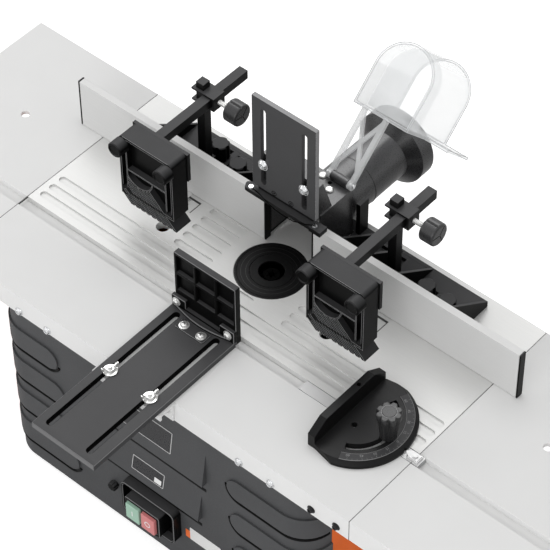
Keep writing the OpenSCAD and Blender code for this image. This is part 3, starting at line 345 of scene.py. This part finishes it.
def put(me, name, mat, body, extra=()):
    """A finished piece on its body. Big faces keep flat shading, their soft edges take the turn.
    extra holds further finishes, each with a test on a face's place and normal."""
    ob = bpy.data.objects.new(name, me)
    bpy.context.scene.collection.objects.link(ob)
    me.materials.clear()
    me.materials.append(mat)
    for k, (more, test) in enumerate(extra):
        me.materials.append(more)
        for f in me.polygons:
            x, y, z = f.center * MM - LIFT
            if test(x, y, z, f.normal):
                f.material_index = k + 1
    wn = ob.modifiers.new("flat_faces", "WEIGHTED_NORMAL")
    wn.keep_sharp = True
    wn.mode = "FACE_AREA"
    wn.weight = 60
    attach(ob, body)
    return ob


def working_copy(node):
    """A node's CAD mesh to work on, with its flat faces joined."""
    bm = bmesh.new()
    bm.from_mesh(NODES[node].data)
    bmesh.ops.remove_doubles(bm, verts=bm.verts, dist=WELD)
    bmesh.ops.dissolve_limit(bm, angle_limit=FLAT, verts=bm.verts, edges=bm.edges)
    return bm


def dress(node, bevel, mat=None, extra=()):
    """The CAD node again with softened edges, riding where the node does."""
    bm = working_copy(node)
    if bevel:
        es = [e for e in bm.edges if len(e.link_faces) == 2 and e.calc_face_angle(0.0) > SOFTENED]
        bmesh.ops.bevel(bm, geom=es, offset=bevel / MM, offset_type="OFFSET", segments=2,
                        profile=0.5, affect="EDGES", clamp_overlap=True)
    me = finish_mesh(bm, "v_" + node)
    ob = put(me, "v_" + node, mat or M[SLOT_OF[node]], BODY_OF[node], extra)
    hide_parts(node)


def ended(bm, name, body, mats):
    """A mesh with its own material numbers becomes a piece."""
    bmesh.ops.recalc_face_normals(bm, faces=bm.faces)
    numbers = [f.material_index for f in bm.faces]
    me = finish_mesh(bm, name)
    ob = put(me, name, mats[0], body)
    me.materials.clear()
    for mat in mats:
        me.materials.append(mat)
    for f, k in zip(me.polygons, numbers):
        f.material_index = k
    return ob


def own(bm, node, mats):
    """A piece with its own mesh in the place of a CAD node."""
    ob = ended(bm, "v_" + node, BODY_OF[node], mats)
    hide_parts(node)


# Forms. Frames give an origin, two axes of the outline and the direction in which it rises


def facing_up(x=0, y=0, z=0):
    return (x, y, z), (1, 0, 0), (0, 1, 0), (0, 0, 1)


def facing_front(x=0, y=0, z=0):
    return (x, y, z), (1, 0, 0), (0, 0, 1), (0, -1, 0)


def in_frame(bm, at, x, y, h):
    """A new vertex at x and y of a frame and height h over it."""
    o, ex, ey, ez = at
    return bm.verts.new(((o + ex * x + ey * y + ez * h) + LIFT) / MM)


def across(axis):
    """An axis and two directions across it, all of unit length."""
    a = Vector(axis).normalized()
    u = a.orthogonal().normalized()
    return a, u, a.cross(u)


def angles(n):
    return [2 * math.pi * k / n for k in range(n)]


def polar(r, t):
    return r * math.cos(t), r * math.sin(t)


def skin(bm, rows, mat):
    """Walls from row to row of vertices, closed by a face at each end."""
    n = len(rows[0])
    faces = [bm.faces.new((r0[i], r0[(i + 1) % n], r1[(i + 1) % n], r1[i]))
             for r0, r1 in zip(rows, rows[1:]) for i in range(n)]
    faces += [bm.faces.new(rows[0][::-1]), bm.faces.new(rows[-1])]
    for f in faces:
        f.material_index = mat


def turned(bm, origin, axis, stations, cut=None, n=72, mat=0):
    """A closed turned form: stations are (distance along the axis, radius, share of the cut), and
    cut(angle) says how far the outline is pulled in there."""
    a, u, v = across(axis)
    rows = []
    for h, r, *share in stations:
        k = share[0] if share else 1.0
        row = []
        for t in angles(n):
            rr = max(0.05, r - (k * cut(t) if cut else 0.0))
            q = Vector(origin) + a * h + (u * math.cos(t) + v * math.sin(t)) * rr
            row.append(bm.verts.new((q + LIFT) / MM))
        rows.append(row)
    skin(bm, rows, mat)


def notches(count, width, deep, start):
    """Narrow grooves round an edge."""
    pitch = 2 * math.pi / count

    def cut(t):
        d = (t - start) % pitch
        d = min(d, pitch - d)
        return deep * max(0.0, 1.0 - (d / width) ** 2)
    return cut


def lobes(count, deep, start=0.0):
    """Hand grip outline of broad lobes with narrower hollows between them."""
    def cut(t):
        return deep * (0.5 - 0.5 * math.cos(count * (t - start))) ** 2.2
    return cut


def rod(bm, pts, r, n, mat=0):
    """A round wire through points."""
    pts = [Vector(q) for q in pts]
    aside = Vector((0.31, 0.22, 0.92))     # no wire here runs this way
    rows = []
    for i, q in enumerate(pts):
        t = (pts[min(i + 1, len(pts) - 1)] - pts[max(i - 1, 0)]).normalized()
        u = t.cross(aside).normalized()
        v = t.cross(u)
        rows.append([bm.verts.new(((q + (u * math.cos(w) + v * math.sin(w)) * r) + LIFT) / MM)
                     for w in angles(n)])
    skin(bm, rows, mat)


def prism(bm, outline, frame3, h0, h1, mat=0):
    """A flat outline raised between two heights."""
    at = [Vector(q) for q in frame3]
    skin(bm, [[in_frame(bm, at, x, y, h) for x, y in outline] for h in (h0, h1)], mat)


def block(bm, x0, x1, y0, y1, z0, z1, mat=0):
    """A box added to a mesh."""
    vs = [bm.verts.new((Vector((x, y, z)) + LIFT) / MM) for x in (x0, x1) for y in (y0, y1) for z in (z0, z1)]
    for side in ((0, 1, 3, 2), (4, 6, 7, 5), (0, 4, 5, 1), (2, 3, 7, 6), (0, 2, 6, 4), (1, 5, 7, 3)):
        bm.faces.new([vs[i] for i in side]).material_index = mat


# Outlines for plate: each is a function of the distance by which it grows


def stadium(x, y0, y1, r, n=10):
    """A slot with round ends."""
    def pts(o):
        q = []
        for middle, first in ((y1 - r, 0.0), (y0 + r, math.pi)):
            for k in range(n + 1):
                dx, dy = polar(r + o, first + math.pi * k / n)
                q.append((x + dx, middle + dy))
        return q
    return pts


def circle(x, y, r, n=64):
    return lambda o: [(x + dx, y + dy) for dx, dy in (polar(r + o, t) for t in angles(n))]


def round_box(x0, x1, y0, y1, r, n=6):
    def pts(o):
        a0, a1, b0, b1, rr = x0 - o, x1 + o, y0 - o, y1 + o, max(0.05, r + o)
        q = []
        for cx, cy, first in ((a1 - rr, b1 - rr, 0), (a0 + rr, b1 - rr, 90),
                              (a0 + rr, b0 + rr, 180), (a1 - rr, b0 + rr, 270)):
            for i in range(n + 1):
                dx, dy = polar(rr, math.radians(first + 90.0 * i / n))
                q.append((cx + dx, cy + dy))
        return q
    return pts


def plate(bm, outer, holes, frame3, h0, h1, chamfer=0.0, mat=0, edge=None, wall=None):
    """A flat plate with holes and a chamfer round its upper edges. edge is the finish of the chamfer,
    wall that of the walls of the holes."""
    at = [Vector(q) for q in frame3]
    levels = [(h0, 0.0), (h1 - chamfer, 0.0), (h1, chamfer)] if chamfer else [(h0, 0.0), (h1, 0.0)]
    ends = ([], [])
    for outline, sign in [(outer, -1.0)] + [(h, 1.0) for h in holes]:
        rows = [[in_frame(bm, at, x, y, h) for x, y in outline(sign * c)] for h, c in levels]
        n = len(rows[0])
        for k in range(len(rows) - 1):
            for i in range(n):
                f = bm.faces.new((rows[k][i], rows[k][(i + 1) % n], rows[k + 1][(i + 1) % n], rows[k + 1][i]))
                f.material_index = (mat if edge is None else edge) if k == 1 else mat
                if wall is not None and sign > 0:
                    f.material_index = wall
        for row, out in ((rows[0], ends[0]), (rows[-1], ends[1])):
            out.extend(bm.edges.get((row[i], row[(i + 1) % n])) for i in range(n))
    for es in ends:
        got = bmesh.ops.triangle_fill(bm, edges=es, use_beauty=True, use_dissolve=False)
        for g in got["geom"]:
            if isinstance(g, bmesh.types.BMFace):
                g.material_index = mat


def screw_head(bm, at, axis, r, h, spin):
    """A pan head on a washer with a cross recess, drawn as two dark bars of painted shade."""
    turned(bm, at, axis, [(0.0, r * 1.45), (0.7, r * 1.45), (0.9, r * 1.35), (0.9, r), (h * 0.55, r),
                          (h * 0.85, r * 0.8), (h, r * 0.45)], n=24)
    a, u, v = across(axis)
    half, thin = r * 0.62, r * 0.12
    for t in (spin, spin + math.pi / 2):
        e = u * math.cos(t) + v * math.sin(t)
        prism(bm, [(-half, -thin), (half, -thin), (half, thin), (-half, thin)],
              (at, e, a.cross(e), a), h * 0.9, h + 0.08, mat=1)


def word(bm, text, size, frame3, mat):
    """Plain digits as thin solids on a surface."""
    cu = bpy.data.curves.new("digits", "FONT")
    cu.body = text
    cu.size = size
    cu.align_x = "CENTER"
    cu.align_y = "CENTER"
    cu.resolution_u = 3
    cu.extrude = 0.1
    ob = bpy.data.objects.new("digits", cu)
    bpy.context.scene.collection.objects.link(ob)
    me = bpy.data.meshes.new_from_object(ob.evaluated_get(bpy.context.evaluated_depsgraph_get()))
    digits = bmesh.new()
    digits.from_mesh(me)
    bmesh.ops.remove_doubles(digits, verts=digits.verts, dist=1e-4)
    at = [Vector(q) for q in frame3]
    new = {q: in_frame(bm, at, *q.co) for q in digits.verts}
    for f in digits.faces:
        bm.faces.new([new[q] for q in f.verts]).material_index = mat
    digits.free()
    bpy.data.objects.remove(ob)
    bpy.data.curves.remove(cu)
    bpy.data.meshes.remove(me)


def beads(node, name, mat, r, angle, keep):
    """Fine round beads along a node's edges over an angle, where keep(a, b) holds for the two ends."""
    src = working_copy(node)
    bm = bmesh.new()
    for e in src.edges:
        if len(e.link_faces) == 2 and e.is_convex and e.calc_face_angle(0.0) > math.radians(angle):
            a, b = [v.co * MM - LIFT for v in e.verts]
            if keep(a, b):
                rod(bm, [a, b], r, 6)
    src.free()
    ended(bm, name, BODY_OF[node], [mat])


# The CAD nodes, dressed


def near(x0, y0, r, z0):
    """A test for faces within r of an upright line and above z0."""
    return lambda x, y, z, n: math.hypot(x - x0, y - y0) < r and z > z0


def any_of(*tests):
    return lambda x, y, z, n: any(t(x, y, z, n) for t in tests)


def along_hood(y, z):
    """Distance from the hinge along the arms of the thrown-back hood."""
    return (y - HINGE_Y) * HOOD_LINE[0] + (z - HINGE_Z) * HOOD_LINE[1]


BEVEL = {"body_shell": 0.8, "front_plate": 0.8, "wing_left": 0.8, "wing_right": 0.8,
         "fence_left": 0.5, "fence_right": 0.5, "comb_left": 0.5, "comb_right": 0.5, "guard_plate": 0.5,
         "dust_port": 0.6, "mitre_head": 0.5, "clear_hood": 0,
         "button_green": 1.1, "button_red": 1.1, "mitre_bar": 0.2}
OTHER_BEVEL = 0.3
EXTRA = {
    # cross bar of the guard, painted highlight on its right and upper edges, and the screws on the bar
    "guard_plate": [
        (M["dark_paint"], lambda x, y, z, n: z < 98.6),
        (X["guard_edge_highlight"], lambda x, y, z, n: n.x > 0.9 and x > 46 and z > 98 or n.z > 0.9 and z > 242),
        (M["zinc"], any_of(near(-50, 22, 3.4, 91.5), near(48, 22, 3.4, 93.2)))],
    "clear_hood": [(X["clear_arm"], lambda x, y, z, n: along_hood(y, z) < 90)],
    "mitre_bar": [(X["pale_steel"], lambda x, y, z, n: z > -0.5)],
    # the screws at the right front are black
    "table_screws": [(X["black_steel"], lambda x, y, z, n: x > 240)],
}
# The spindle's nut and shaft take the darkest finish, painted shade of the opening they sit in
DARK = {"spindle_nut": X["black_and_painted_shade"], "spindle_shaft": X["black_and_painted_shade"], "motor": X["black_steel"],
        "dust_housing": X["gloss_black"], "dust_port": X["gloss_black"], "ring_outer": X["ring_black"],
        "ring_inner": X["ring_black"], "mitre_head": X["gauge_black"], "guard_plate": X["guard_grey"]}
OWN = ("slide_plate", "wing_nut_left", "wing_nut_right", "clamp_knob_left", "clamp_knob_right", "mitre_knob",
       "switch_tray", "reset_button")
for n in sorted(NODES):
    if n not in OWN:
        dress(n, BEVEL.get(n, OTHER_BEVEL), mat=DARK.get(n), extra=EXTRA.get(n, ()))

# Upright wires behind the rear vents on a dark sheet, which is painted shade so that the inside stays dark
SCREEN_Y, WIRE_PITCH, HALF_WIRE = 119.6, 8, 0.6
bm = bmesh.new()
block(bm, -130, 130, SCREEN_Y - 0.6, SCREEN_Y, -208, -132)
for i in range(-16, 17):
    x = i * WIRE_PITCH
    block(bm, x - HALF_WIRE, x + HALF_WIRE, SCREEN_Y, SCREEN_Y + 0.8, -206, -134)
put(finish_mesh(bm, "vent_wires_and_shade"), "vent_wires_and_shade", X["black_steel"], "base")

# Side presser: slotted plate with its pale end, ears, stop block, curved brace and ribbed shoe
bm = bmesh.new()
SLATE, BLACK, END, EDGE_HIGHLIGHT, PAINTED_SHADE = range(5)
# The walls of the slots are painted shade
plate(bm, round_box(-50, 47, -356, -117, 1.2), [stadium(x, -346, -127, 4.2) for x in SLOT_X],
      facing_up(), 0.3, PLATE_TOP, 0.7, SLATE, END, PAINTED_SHADE)
block(bm, -49.4, 46.4, -356.15, -355.9, 0.8, 7.5, END)
# Chamfers of the ears, stop block and shoe and a bead along the brace take the painted highlight finish
for x0, x1 in ((-50, -28), (25, 47)):
    plate(bm, round_box(x0, x1, PLATE_TOP - 1, PLATE_TOP + 18, 1.5), [], facing_front(y=-116.3),
          0, 4.7, 0.7, BLACK, EDGE_HIGHLIGHT)
block(bm, -36, 33, -121, -116.3, PLATE_TOP - 1, PLATE_TOP + 6, BLACK)
plate(bm, round_box(-24, 19, -145, -129, 2), [], facing_up(), PLATE_TOP - 0.2, PLATE_TOP + 1.4, 0.5,
      BLACK, EDGE_HIGHLIGHT)
crest = [(-44 + 85 * k / 16.0, -121 - 6.5 * math.sin(math.pi * k / 16.0)) for k in range(17)]
prism(bm, crest + [(41, -117), (-44, -117)], facing_up(), PLATE_TOP - 0.2, PLATE_TOP + 3.0, BLACK)
rod(bm, [(x, y, PLATE_TOP + 3.2) for x, y in crest], 0.8, 8, EDGE_HIGHLIGHT)
shoe = round_box(-48, 46.5, 1, 96, 1.5)
pockets = [round_box(x0, x1, z0, z1, 1.0)
           for x0, x1 in ((-44, -18), (-14, 14), (18, 43)) for z0, z1 in ((34, 60), (64, 92))]
plate(bm, shoe, pockets, facing_front(y=-111.5), 0, 4.8, 0.6, BLACK, EDGE_HIGHLIGHT, BLACK)
plate(bm, shoe, [], facing_front(y=-111.5), -3.5, 0, 0, BLACK)
own(bm, "slide_plate", [X["plate_slate"], M["black_plastic"], X["end_grey"], X["black_plastic_edge"],
                        X["black_and_painted_shade"]])

# Its screws: two on the stop block, one in each ear
bm = bmesh.new()
for x in (-15.8, 10.4):
    screw_head(bm, (x, -137, 8.9), (0, 0, 1), 4.7, 5.0, 0.3 + x)
for x in (-42, 38):
    screw_head(bm, (x, -120.9, PLATE_TOP + 10), (0, -1, 0), 4.2, 4.4, 0.6 + x)
ended(bm, "carriage_screws", "slide_plate", [X["bright"], X["screw_recess_shade"]])

# Wing nuts: flange and hub, threaded end, two wings
WING = ((2.5, 1.4), (4.5, 5.0), (8, 9.0), (10.6, 9.4), (11.2, 7.4), (9.5, 4.4), (6, 1.4))
for node, x in zip(("wing_nut_left", "wing_nut_right"), SLOT_X):
    bm = bmesh.new()
    at = (x, NUT_Y, NUT_Z)
    turned(bm, at, (0, 0, 1), [(0, 8.7), (0.9, 9), (1.4, 8.7), (1.4, 6.2), (3.6, 5.4), (5.0, 4.8),
                               (5.4, 3.4)], n=40)
    turned(bm, at, (0, 0, 1), [(5.0, 2.9), (8.2, 2.9), (8.8, 2.3)], n=24)
    for side in (1, -1):
        prism(bm, [(a * side, h) for a, h in WING], (at, (0.35, 0.937, 0), (0, 0, 1), (0.937, -0.35, 0)),
              -1.2, 1.2)
    own(bm, node, [X["bright"]])

# Drum grips of the clamps, with a collar, a bright threaded stem and three grooves, drawn on to the end face
# as dark strips of painted shade
GRIP_Y, GRIP_Z = 74, 133
GRIP_TURN = 0.9            # angle of the first groove
for side, x in (("left", -157.0), ("right", 140.5)):
    bm = bmesh.new()
    at = (x, GRIP_Y, GRIP_Z)
    turned(bm, at, (1, 0, 0), [(7.2, 3.0), (27.0, 3.0)], n=24, mat=1)
    for k in range(14):
        turned(bm, at, (1, 0, 0), [(12.0 + k, 3.0), (12.4 + k, 3.25), (12.8 + k, 3.0)], n=24, mat=1)
    turned(bm, at, (1, 0, 0), [(26, 6.4), (26.6, 7), (29.5, 7)], n=32)
    turned(bm, at, (1, 0, 0), [(28.4, 11.5, 0), (29.0, 13.4, 0.3), (30.2, 14.6), (31.6, 15.0), (46.0, 15.0),
                               (47.6, 14.5), (48.6, 13.4, 0.6)], notches(3, 0.10, 1.6, GRIP_TURN), n=120)
    turned(bm, at, (1, 0, 0), [(48.2, 13.2), (49.0, 12.4)], n=48)
    for k in range(3):
        t = GRIP_TURN + 2 * math.pi * k / 3
        out, aside = (0, math.cos(t), math.sin(t)), (0, -math.sin(t), math.cos(t))
        prism(bm, [(0.5, -0.5), (12.6, -0.5), (12.6, 0.5), (0.5, 0.5)],
              ((x + 48.95, GRIP_Y, GRIP_Z), out, aside, (1, 0, 0)), 0, 0.15, 2)
    own(bm, "clamp_knob_" + side, [X["grip_black"], X["bright"], X["black_and_painted_shade"]])

# Gauge knob: a flower top on a tapered stem, with a ring of painted highlight round its cap
bm = bmesh.new()
at = (268, GAUGE_Y, 9.3)
turned(bm, at, (0, 0, 1), [(0, 9.6, 0), (0.6, 10, 0), (5, 10, 0), (6, 10.4, 0.3), (16, 11.4, 0.5),
                           (27, 13.0, 0.8), (33, 14.6, 1), (36, 15.4, 1), (40, 15.5, 1), (41.5, 15.0, 1),
                           (42.2, 13.6, 1)], lobes(8, 3.4, 0.2), n=144)
turned(bm, at, (0, 0, 1), [(41.8, 8.4), (42.7, 7.8)], n=40)
plate(bm, circle(268, GAUGE_Y, 9.2), [circle(268, GAUGE_Y, 8.7)], facing_up(z=9.3), 41.9, 42.5, 0, 1)
own(bm, "mitre_knob", [X["knob_dark"], X["black_plastic_edge"]])

# Raised degree ring on the gauge head, with rims, ticks and plain figures
R_IN, R_OUT, R_FIGURES = 56.5, 66.0, 59.4
RING_TOP = 9.8
bm = bmesh.new()
arc = [math.radians(-68 + 136 * k / 40.0) for k in range(41)]
prism(bm, [polar(R_OUT, t) for t in arc] + [polar(R_IN, t) for t in arc[::-1]],
      facing_up(GAUGE_X, GAUGE_Y), 8.8, RING_TOP)
for r, thick in ((R_OUT, 0.35), (R_IN, 0.3)):
    rod(bm, [(GAUGE_X + r * math.cos(t), GAUGE_Y + r * math.sin(t), 9.6) for t in arc], thick, 6, 1)
for d in range(-60, 61, 5):
    t = math.radians(d)
    out, aside = Vector((math.cos(t), math.sin(t), 0)), Vector((-math.sin(t), math.cos(t), 0))
    tip = R_OUT - 0.6
    foot = tip - (3.2 if d % 15 == 0 else 1.9)
    prism(bm, [(foot, -0.14), (tip, -0.14), (tip, 0.14), (foot, 0.14)],
          ((GAUGE_X, GAUGE_Y, 0), out, aside, (0, 0, 1)), 9.7, 9.86, 1)
    if d % 15 == 0:
        middle = Vector((GAUGE_X, GAUGE_Y, 9.75)) + out * R_FIGURES
        word(bm, str(abs(d)), 4.6, (middle, -aside, out, (0, 0, 1)), 1)
ended(bm, "degree_ring", BODY_OF["mitre_head"], [M["satin_plastic"], X["mark_grey"]])

# Switch: flanged tray with round corners, key block with two openings, two screw wells drawn as dark discs of
# painted shade
bm = bmesh.new()
at = facing_front(y=BODY_FRONT - 0.3)
tray, keys = round_box(-40, 46, -266, -209, 8), round_box(-24, 32, -254, -216, 3)
plate(bm, tray, [], at, 0, 3)
# The chamfers of the tray and key block take the painted highlight finish
plate(bm, tray, [round_box(-37, 43, -263, -212, 5.5)], at, 2.9, 13.5, 0.8, 0, 1)
plate(bm, keys, [], at, 2.9, 13.6)
plate(bm, keys, [round_box(x0, x1, -249.1, -220.9, 1.5) for x0, x1 in ((-19.7, 2.7), (5.3, 27.7))],
      at, 13.5, 24, 0.8, 0, 1)
for x in (-31, 39):
    turned(bm, (x, BODY_FRONT - 3.2, -237), (0, -1, 0), [(0, 2.6), (1.0, 2.4)], n=20, mat=2)
own(bm, "switch_tray", [M["black_plastic"], X["black_plastic_edge"], X["black_and_painted_shade"]])

# Marks on the keys: a bar and a ring
for node, x, outer, holes in (("button_green", -8.5, round_box(-0.7, 0.7, -4.5, 4.5, 0.5), []),
                              ("button_red", 16.5, circle(0, 0, 4.6), [circle(0, 0, 3.4)])):
    bm = bmesh.new()
    plate(bm, outer, holes, facing_front(x, -250.3, -235), -0.1, 0.15)
    ended(bm, node + "_mark", BODY_OF[node], [X["plate_white"]])

# Overload reset: a stem in the sheet and a lobed cap
bm = bmesh.new()
at = (-62.5, BODY_FRONT, -247.5)
turned(bm, at, (0, -1, 0), [(-8, 4.95, 0), (2.5, 4.95, 0)], n=48)
turned(bm, at, (0, -1, 0), [(2.4, 6.2), (3.2, 6.6), (7.8, 6.5), (9.0, 5.6)], lobes(8, 0.9), n=96)
own(bm, "reset_button", [M["black_plastic"]])

# Shadow lines under the raised bands, round their tips and round the body's corners, and under the pads.
# Each band has the height of its lower edge, the place of its tip and its side
CORNER_X, CORNER_Y, CORNER_R = 208, -182, 40.1
bm = bmesh.new()
for low, tip_x, sd in ((-101, -146, -1), (-160, -139, -1), (-219, -131, -1), (-278, -124, -1),
                       (-106.5, 125, 1), (-167.5, 129, 1), (-228, 133, 1), (-285, 138, 1)):
    cx, cz = tip_x + sd * 17, low + 17
    tip = [(cx - sd * 19.5 * math.sin(t), BODY_FRONT - 0.1, cz - 22.5 * math.cos(t))
           for t in [math.radians(a) for a in range(90 if sd > 0 else 70, -1, -10)]]
    turn = [(sd * CORNER_X + sd * CORNER_R * math.sin(t), CORNER_Y - CORNER_R * math.cos(t), low - 5.5)
            for t in [math.radians(6 * k) for k in range(15)]]
    rod(bm, tip + turn, 2.0, 10)
for half, z0, z1 in ((90, -135.4, -130.8), (81, -209.4, -204.8)):
    block(bm, -half, half, BODY_FRONT - 0.6, BODY_FRONT + 0.1, z0, z1)
ended(bm, "shadow_lines", "base", [X["shadow_black"]])

# Badge and rating plate without lettering on the sloping pads, label by the switch. Each pad has the
# height of its upper end and its length down; it comes forward by 8 over that length
bm = bmesh.new()
for x0, x1, pad_top, pad_long, s0, s1 in ((-38, 40, -65, 51, 1.5, 35.5), (-26.5, 24.7, -150, 40, 8, 30)):
    ln = math.hypot(8, pad_long)
    at = ((0, BODY_FRONT, pad_top), (1, 0, 0), (0, -8 / ln, -pad_long / ln), (0, -pad_long / ln, 8 / ln))
    plate(bm, round_box(x0, x1, s0, s1, 1.2), [], at, -0.4, 0.35, 0, 1)
    plate(bm, round_box(x0 + 1, x1 - 1, s0 + 1, s1 - 1, 0.8), [], at, 0, 0.45)
prism(bm, [(10, 20), (21, 20), (21, 27.5), (10, 27.5)], at, 0, 0.55, 2)
at = facing_front(y=BODY_FRONT)
plate(bm, round_box(60.5, 110, -253, -230, 1.0), [], at, -0.2, 0.3, 0, 2)
plate(bm, round_box(53.5, 60.6, -252.5, -238, 0.8), [], at, -0.2, 0.35, 0, 3)
ended(bm, "bare_plates", "base", [X["plate_dark"], X["mark_light"], X["plate_white"], X["label_orange"]])

# Moulded edges on the front of the combs as beads in the painted highlight finish, and beads of painted
# highlight along the edges of the clear hood
TEETH_TOP = 62             # above it the combs' short edges have beads too
for side in ("left", "right"):
    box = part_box("comb_" + side)
    front = box[0][1] * MM
    beads("comb_" + side, "edge_beads_" + side, X["satin_plastic_edge"], 0.24, 35,
          lambda a, b: (a - b).length > (0.8 if min(a.z, b.z) > TEETH_TOP else 7.0)
          and max(a.y, b.y) < front + 7.5 and abs(a.y - b.y) < 0.3)
beads("clear_hood", "hood_edges", X["hood_edge"], 0.4, 50,
      lambda a, b: (a - b).length > 0.8 and along_hood(min(a.y, b.y), min(a.z, b.z)) > 60)

# Table: dark joints to the wings, and scale windows with their ticks; the dark strips along the windows' back
# and sides are painted shade
JOINT_X, HALF_JOINT = 307.15, 0.45
bm = bmesh.new()
for x in (-JOINT_X, JOINT_X):
    block(bm, x - HALF_JOINT, x + HALF_JOINT, -224.9, 134.5, -2.5, 0.05)
    block(bm, x - HALF_JOINT, x + HALF_JOINT, -225.05, -224.2, -33, 0.05)
for x0, x1 in ((-156, -137), (137, 157)):
    block(bm, x0, x1, 25.4, 27.9, -0.5, 0.06)
    block(bm, x1 - 1.1, x1, 7, 27.9, -0.5, 0.06)
    block(bm, x0, x0 + 0.3, 7, 27.9, -0.5, 0.06)
    for k in range(8):
        y = 8 + k * 2.2
        block(bm, x0 + 1.5, x0 + (8 if k % 4 == 0 else 5), y, y + 0.25, -0.5, 0.07)
ended(bm, "table_joints_and_window_shade", "base", [X["mark_paint"]])

# Fine circles on the insert rings
HALF_LINE = 0.16
bm = bmesh.new()
for r in (44.9, 37.0, 31.0):
    plate(bm, circle(0, 0, r + HALF_LINE, 96), [circle(0, 0, r - HALF_LINE, 96)], facing_up(), -0.3, 0.04)
ended(bm, "ring_circles", BODY_OF["ring_outer"], [X["ring_line"]])

# Guard: bent black wire in front of the bar, and two countersunk screws drawn as dark rings and hexagon
# recesses of painted shade
GUARD_FACE, SCREW_Z = 24.2, 103
bm = bmesh.new()
bend = [(-50, 21.6, 93.2), (-38, 20.4, 92.2), (-22, 17, 91), (-6, 14, 90), (8, 13, 90), (22, 13.4, 90.6),
        (36, 17, 92.2), (48, 21.6, 94.4)]
rod(bm, bend, 0.6, 8, 1)
for x in (-16, 10):
    plate(bm, circle(x, SCREW_Z, 3.7, 32), [circle(x, SCREW_Z, 2.9, 32)], facing_front(y=GUARD_FACE),
          0, 0.4, 0, 1)
    turned(bm, (x, GUARD_FACE, SCREW_Z), (0, -1, 0), [(0, 1.5), (0.3, 1.4)], n=6, mat=1)
ended(bm, "guard_fittings", BODY_OF["guard_plate"], [X["black_steel"], X["black_and_painted_shade"]])

# Dust housing: two screws, and a hole on its deck drawn as a dark disc of painted shade
DECK_Z = 86.0
bm = bmesh.new()
for x, y in ((-2, 96), (19, 83)):
    turned(bm, (x, y, DECK_Z + 0.1), (0, 0, 1), [(0, 5.2), (1.2, 5.4), (2.2, 4.6), (2.8, 2.6)], n=32)
turned(bm, (12.0, 92.3, DECK_Z), (0, 0, 1), [(-0.5, 2.6), (0.15, 2.6)], n=24, mat=1)
ended(bm, "deck_screws", BODY_OF["dust_housing"], [X["bright"], X["black_and_painted_shade"]])

# Floor

bm = bmesh.new()
bmesh.ops.create_grid(bm, x_segments=2, y_segments=2, size=6.0)
me = bpy.data.meshes.new("floor")
bm.to_mesh(me)
bm.free()
floor = bpy.data.objects.new("floor", me)
scene.collection.objects.link(floor)
m, nt, b = new_mat("floor_white")
b.inputs["Base Color"].default_value = (0.8, 0.8, 0.8, 1)
b.inputs["Roughness"].default_value = 0.9
b.inputs["Specular IOR Level"].default_value = 0.0
b.inputs["Emission Color"].default_value = WHITE
seen = nt.nodes.new("ShaderNodeLightPath").outputs["Is Camera Ray"]
nt.links.new(maths(nt, "MULTIPLY", seen, FLOOR_GLOW), b.inputs["Emission Strength"])
me.materials.append(m)
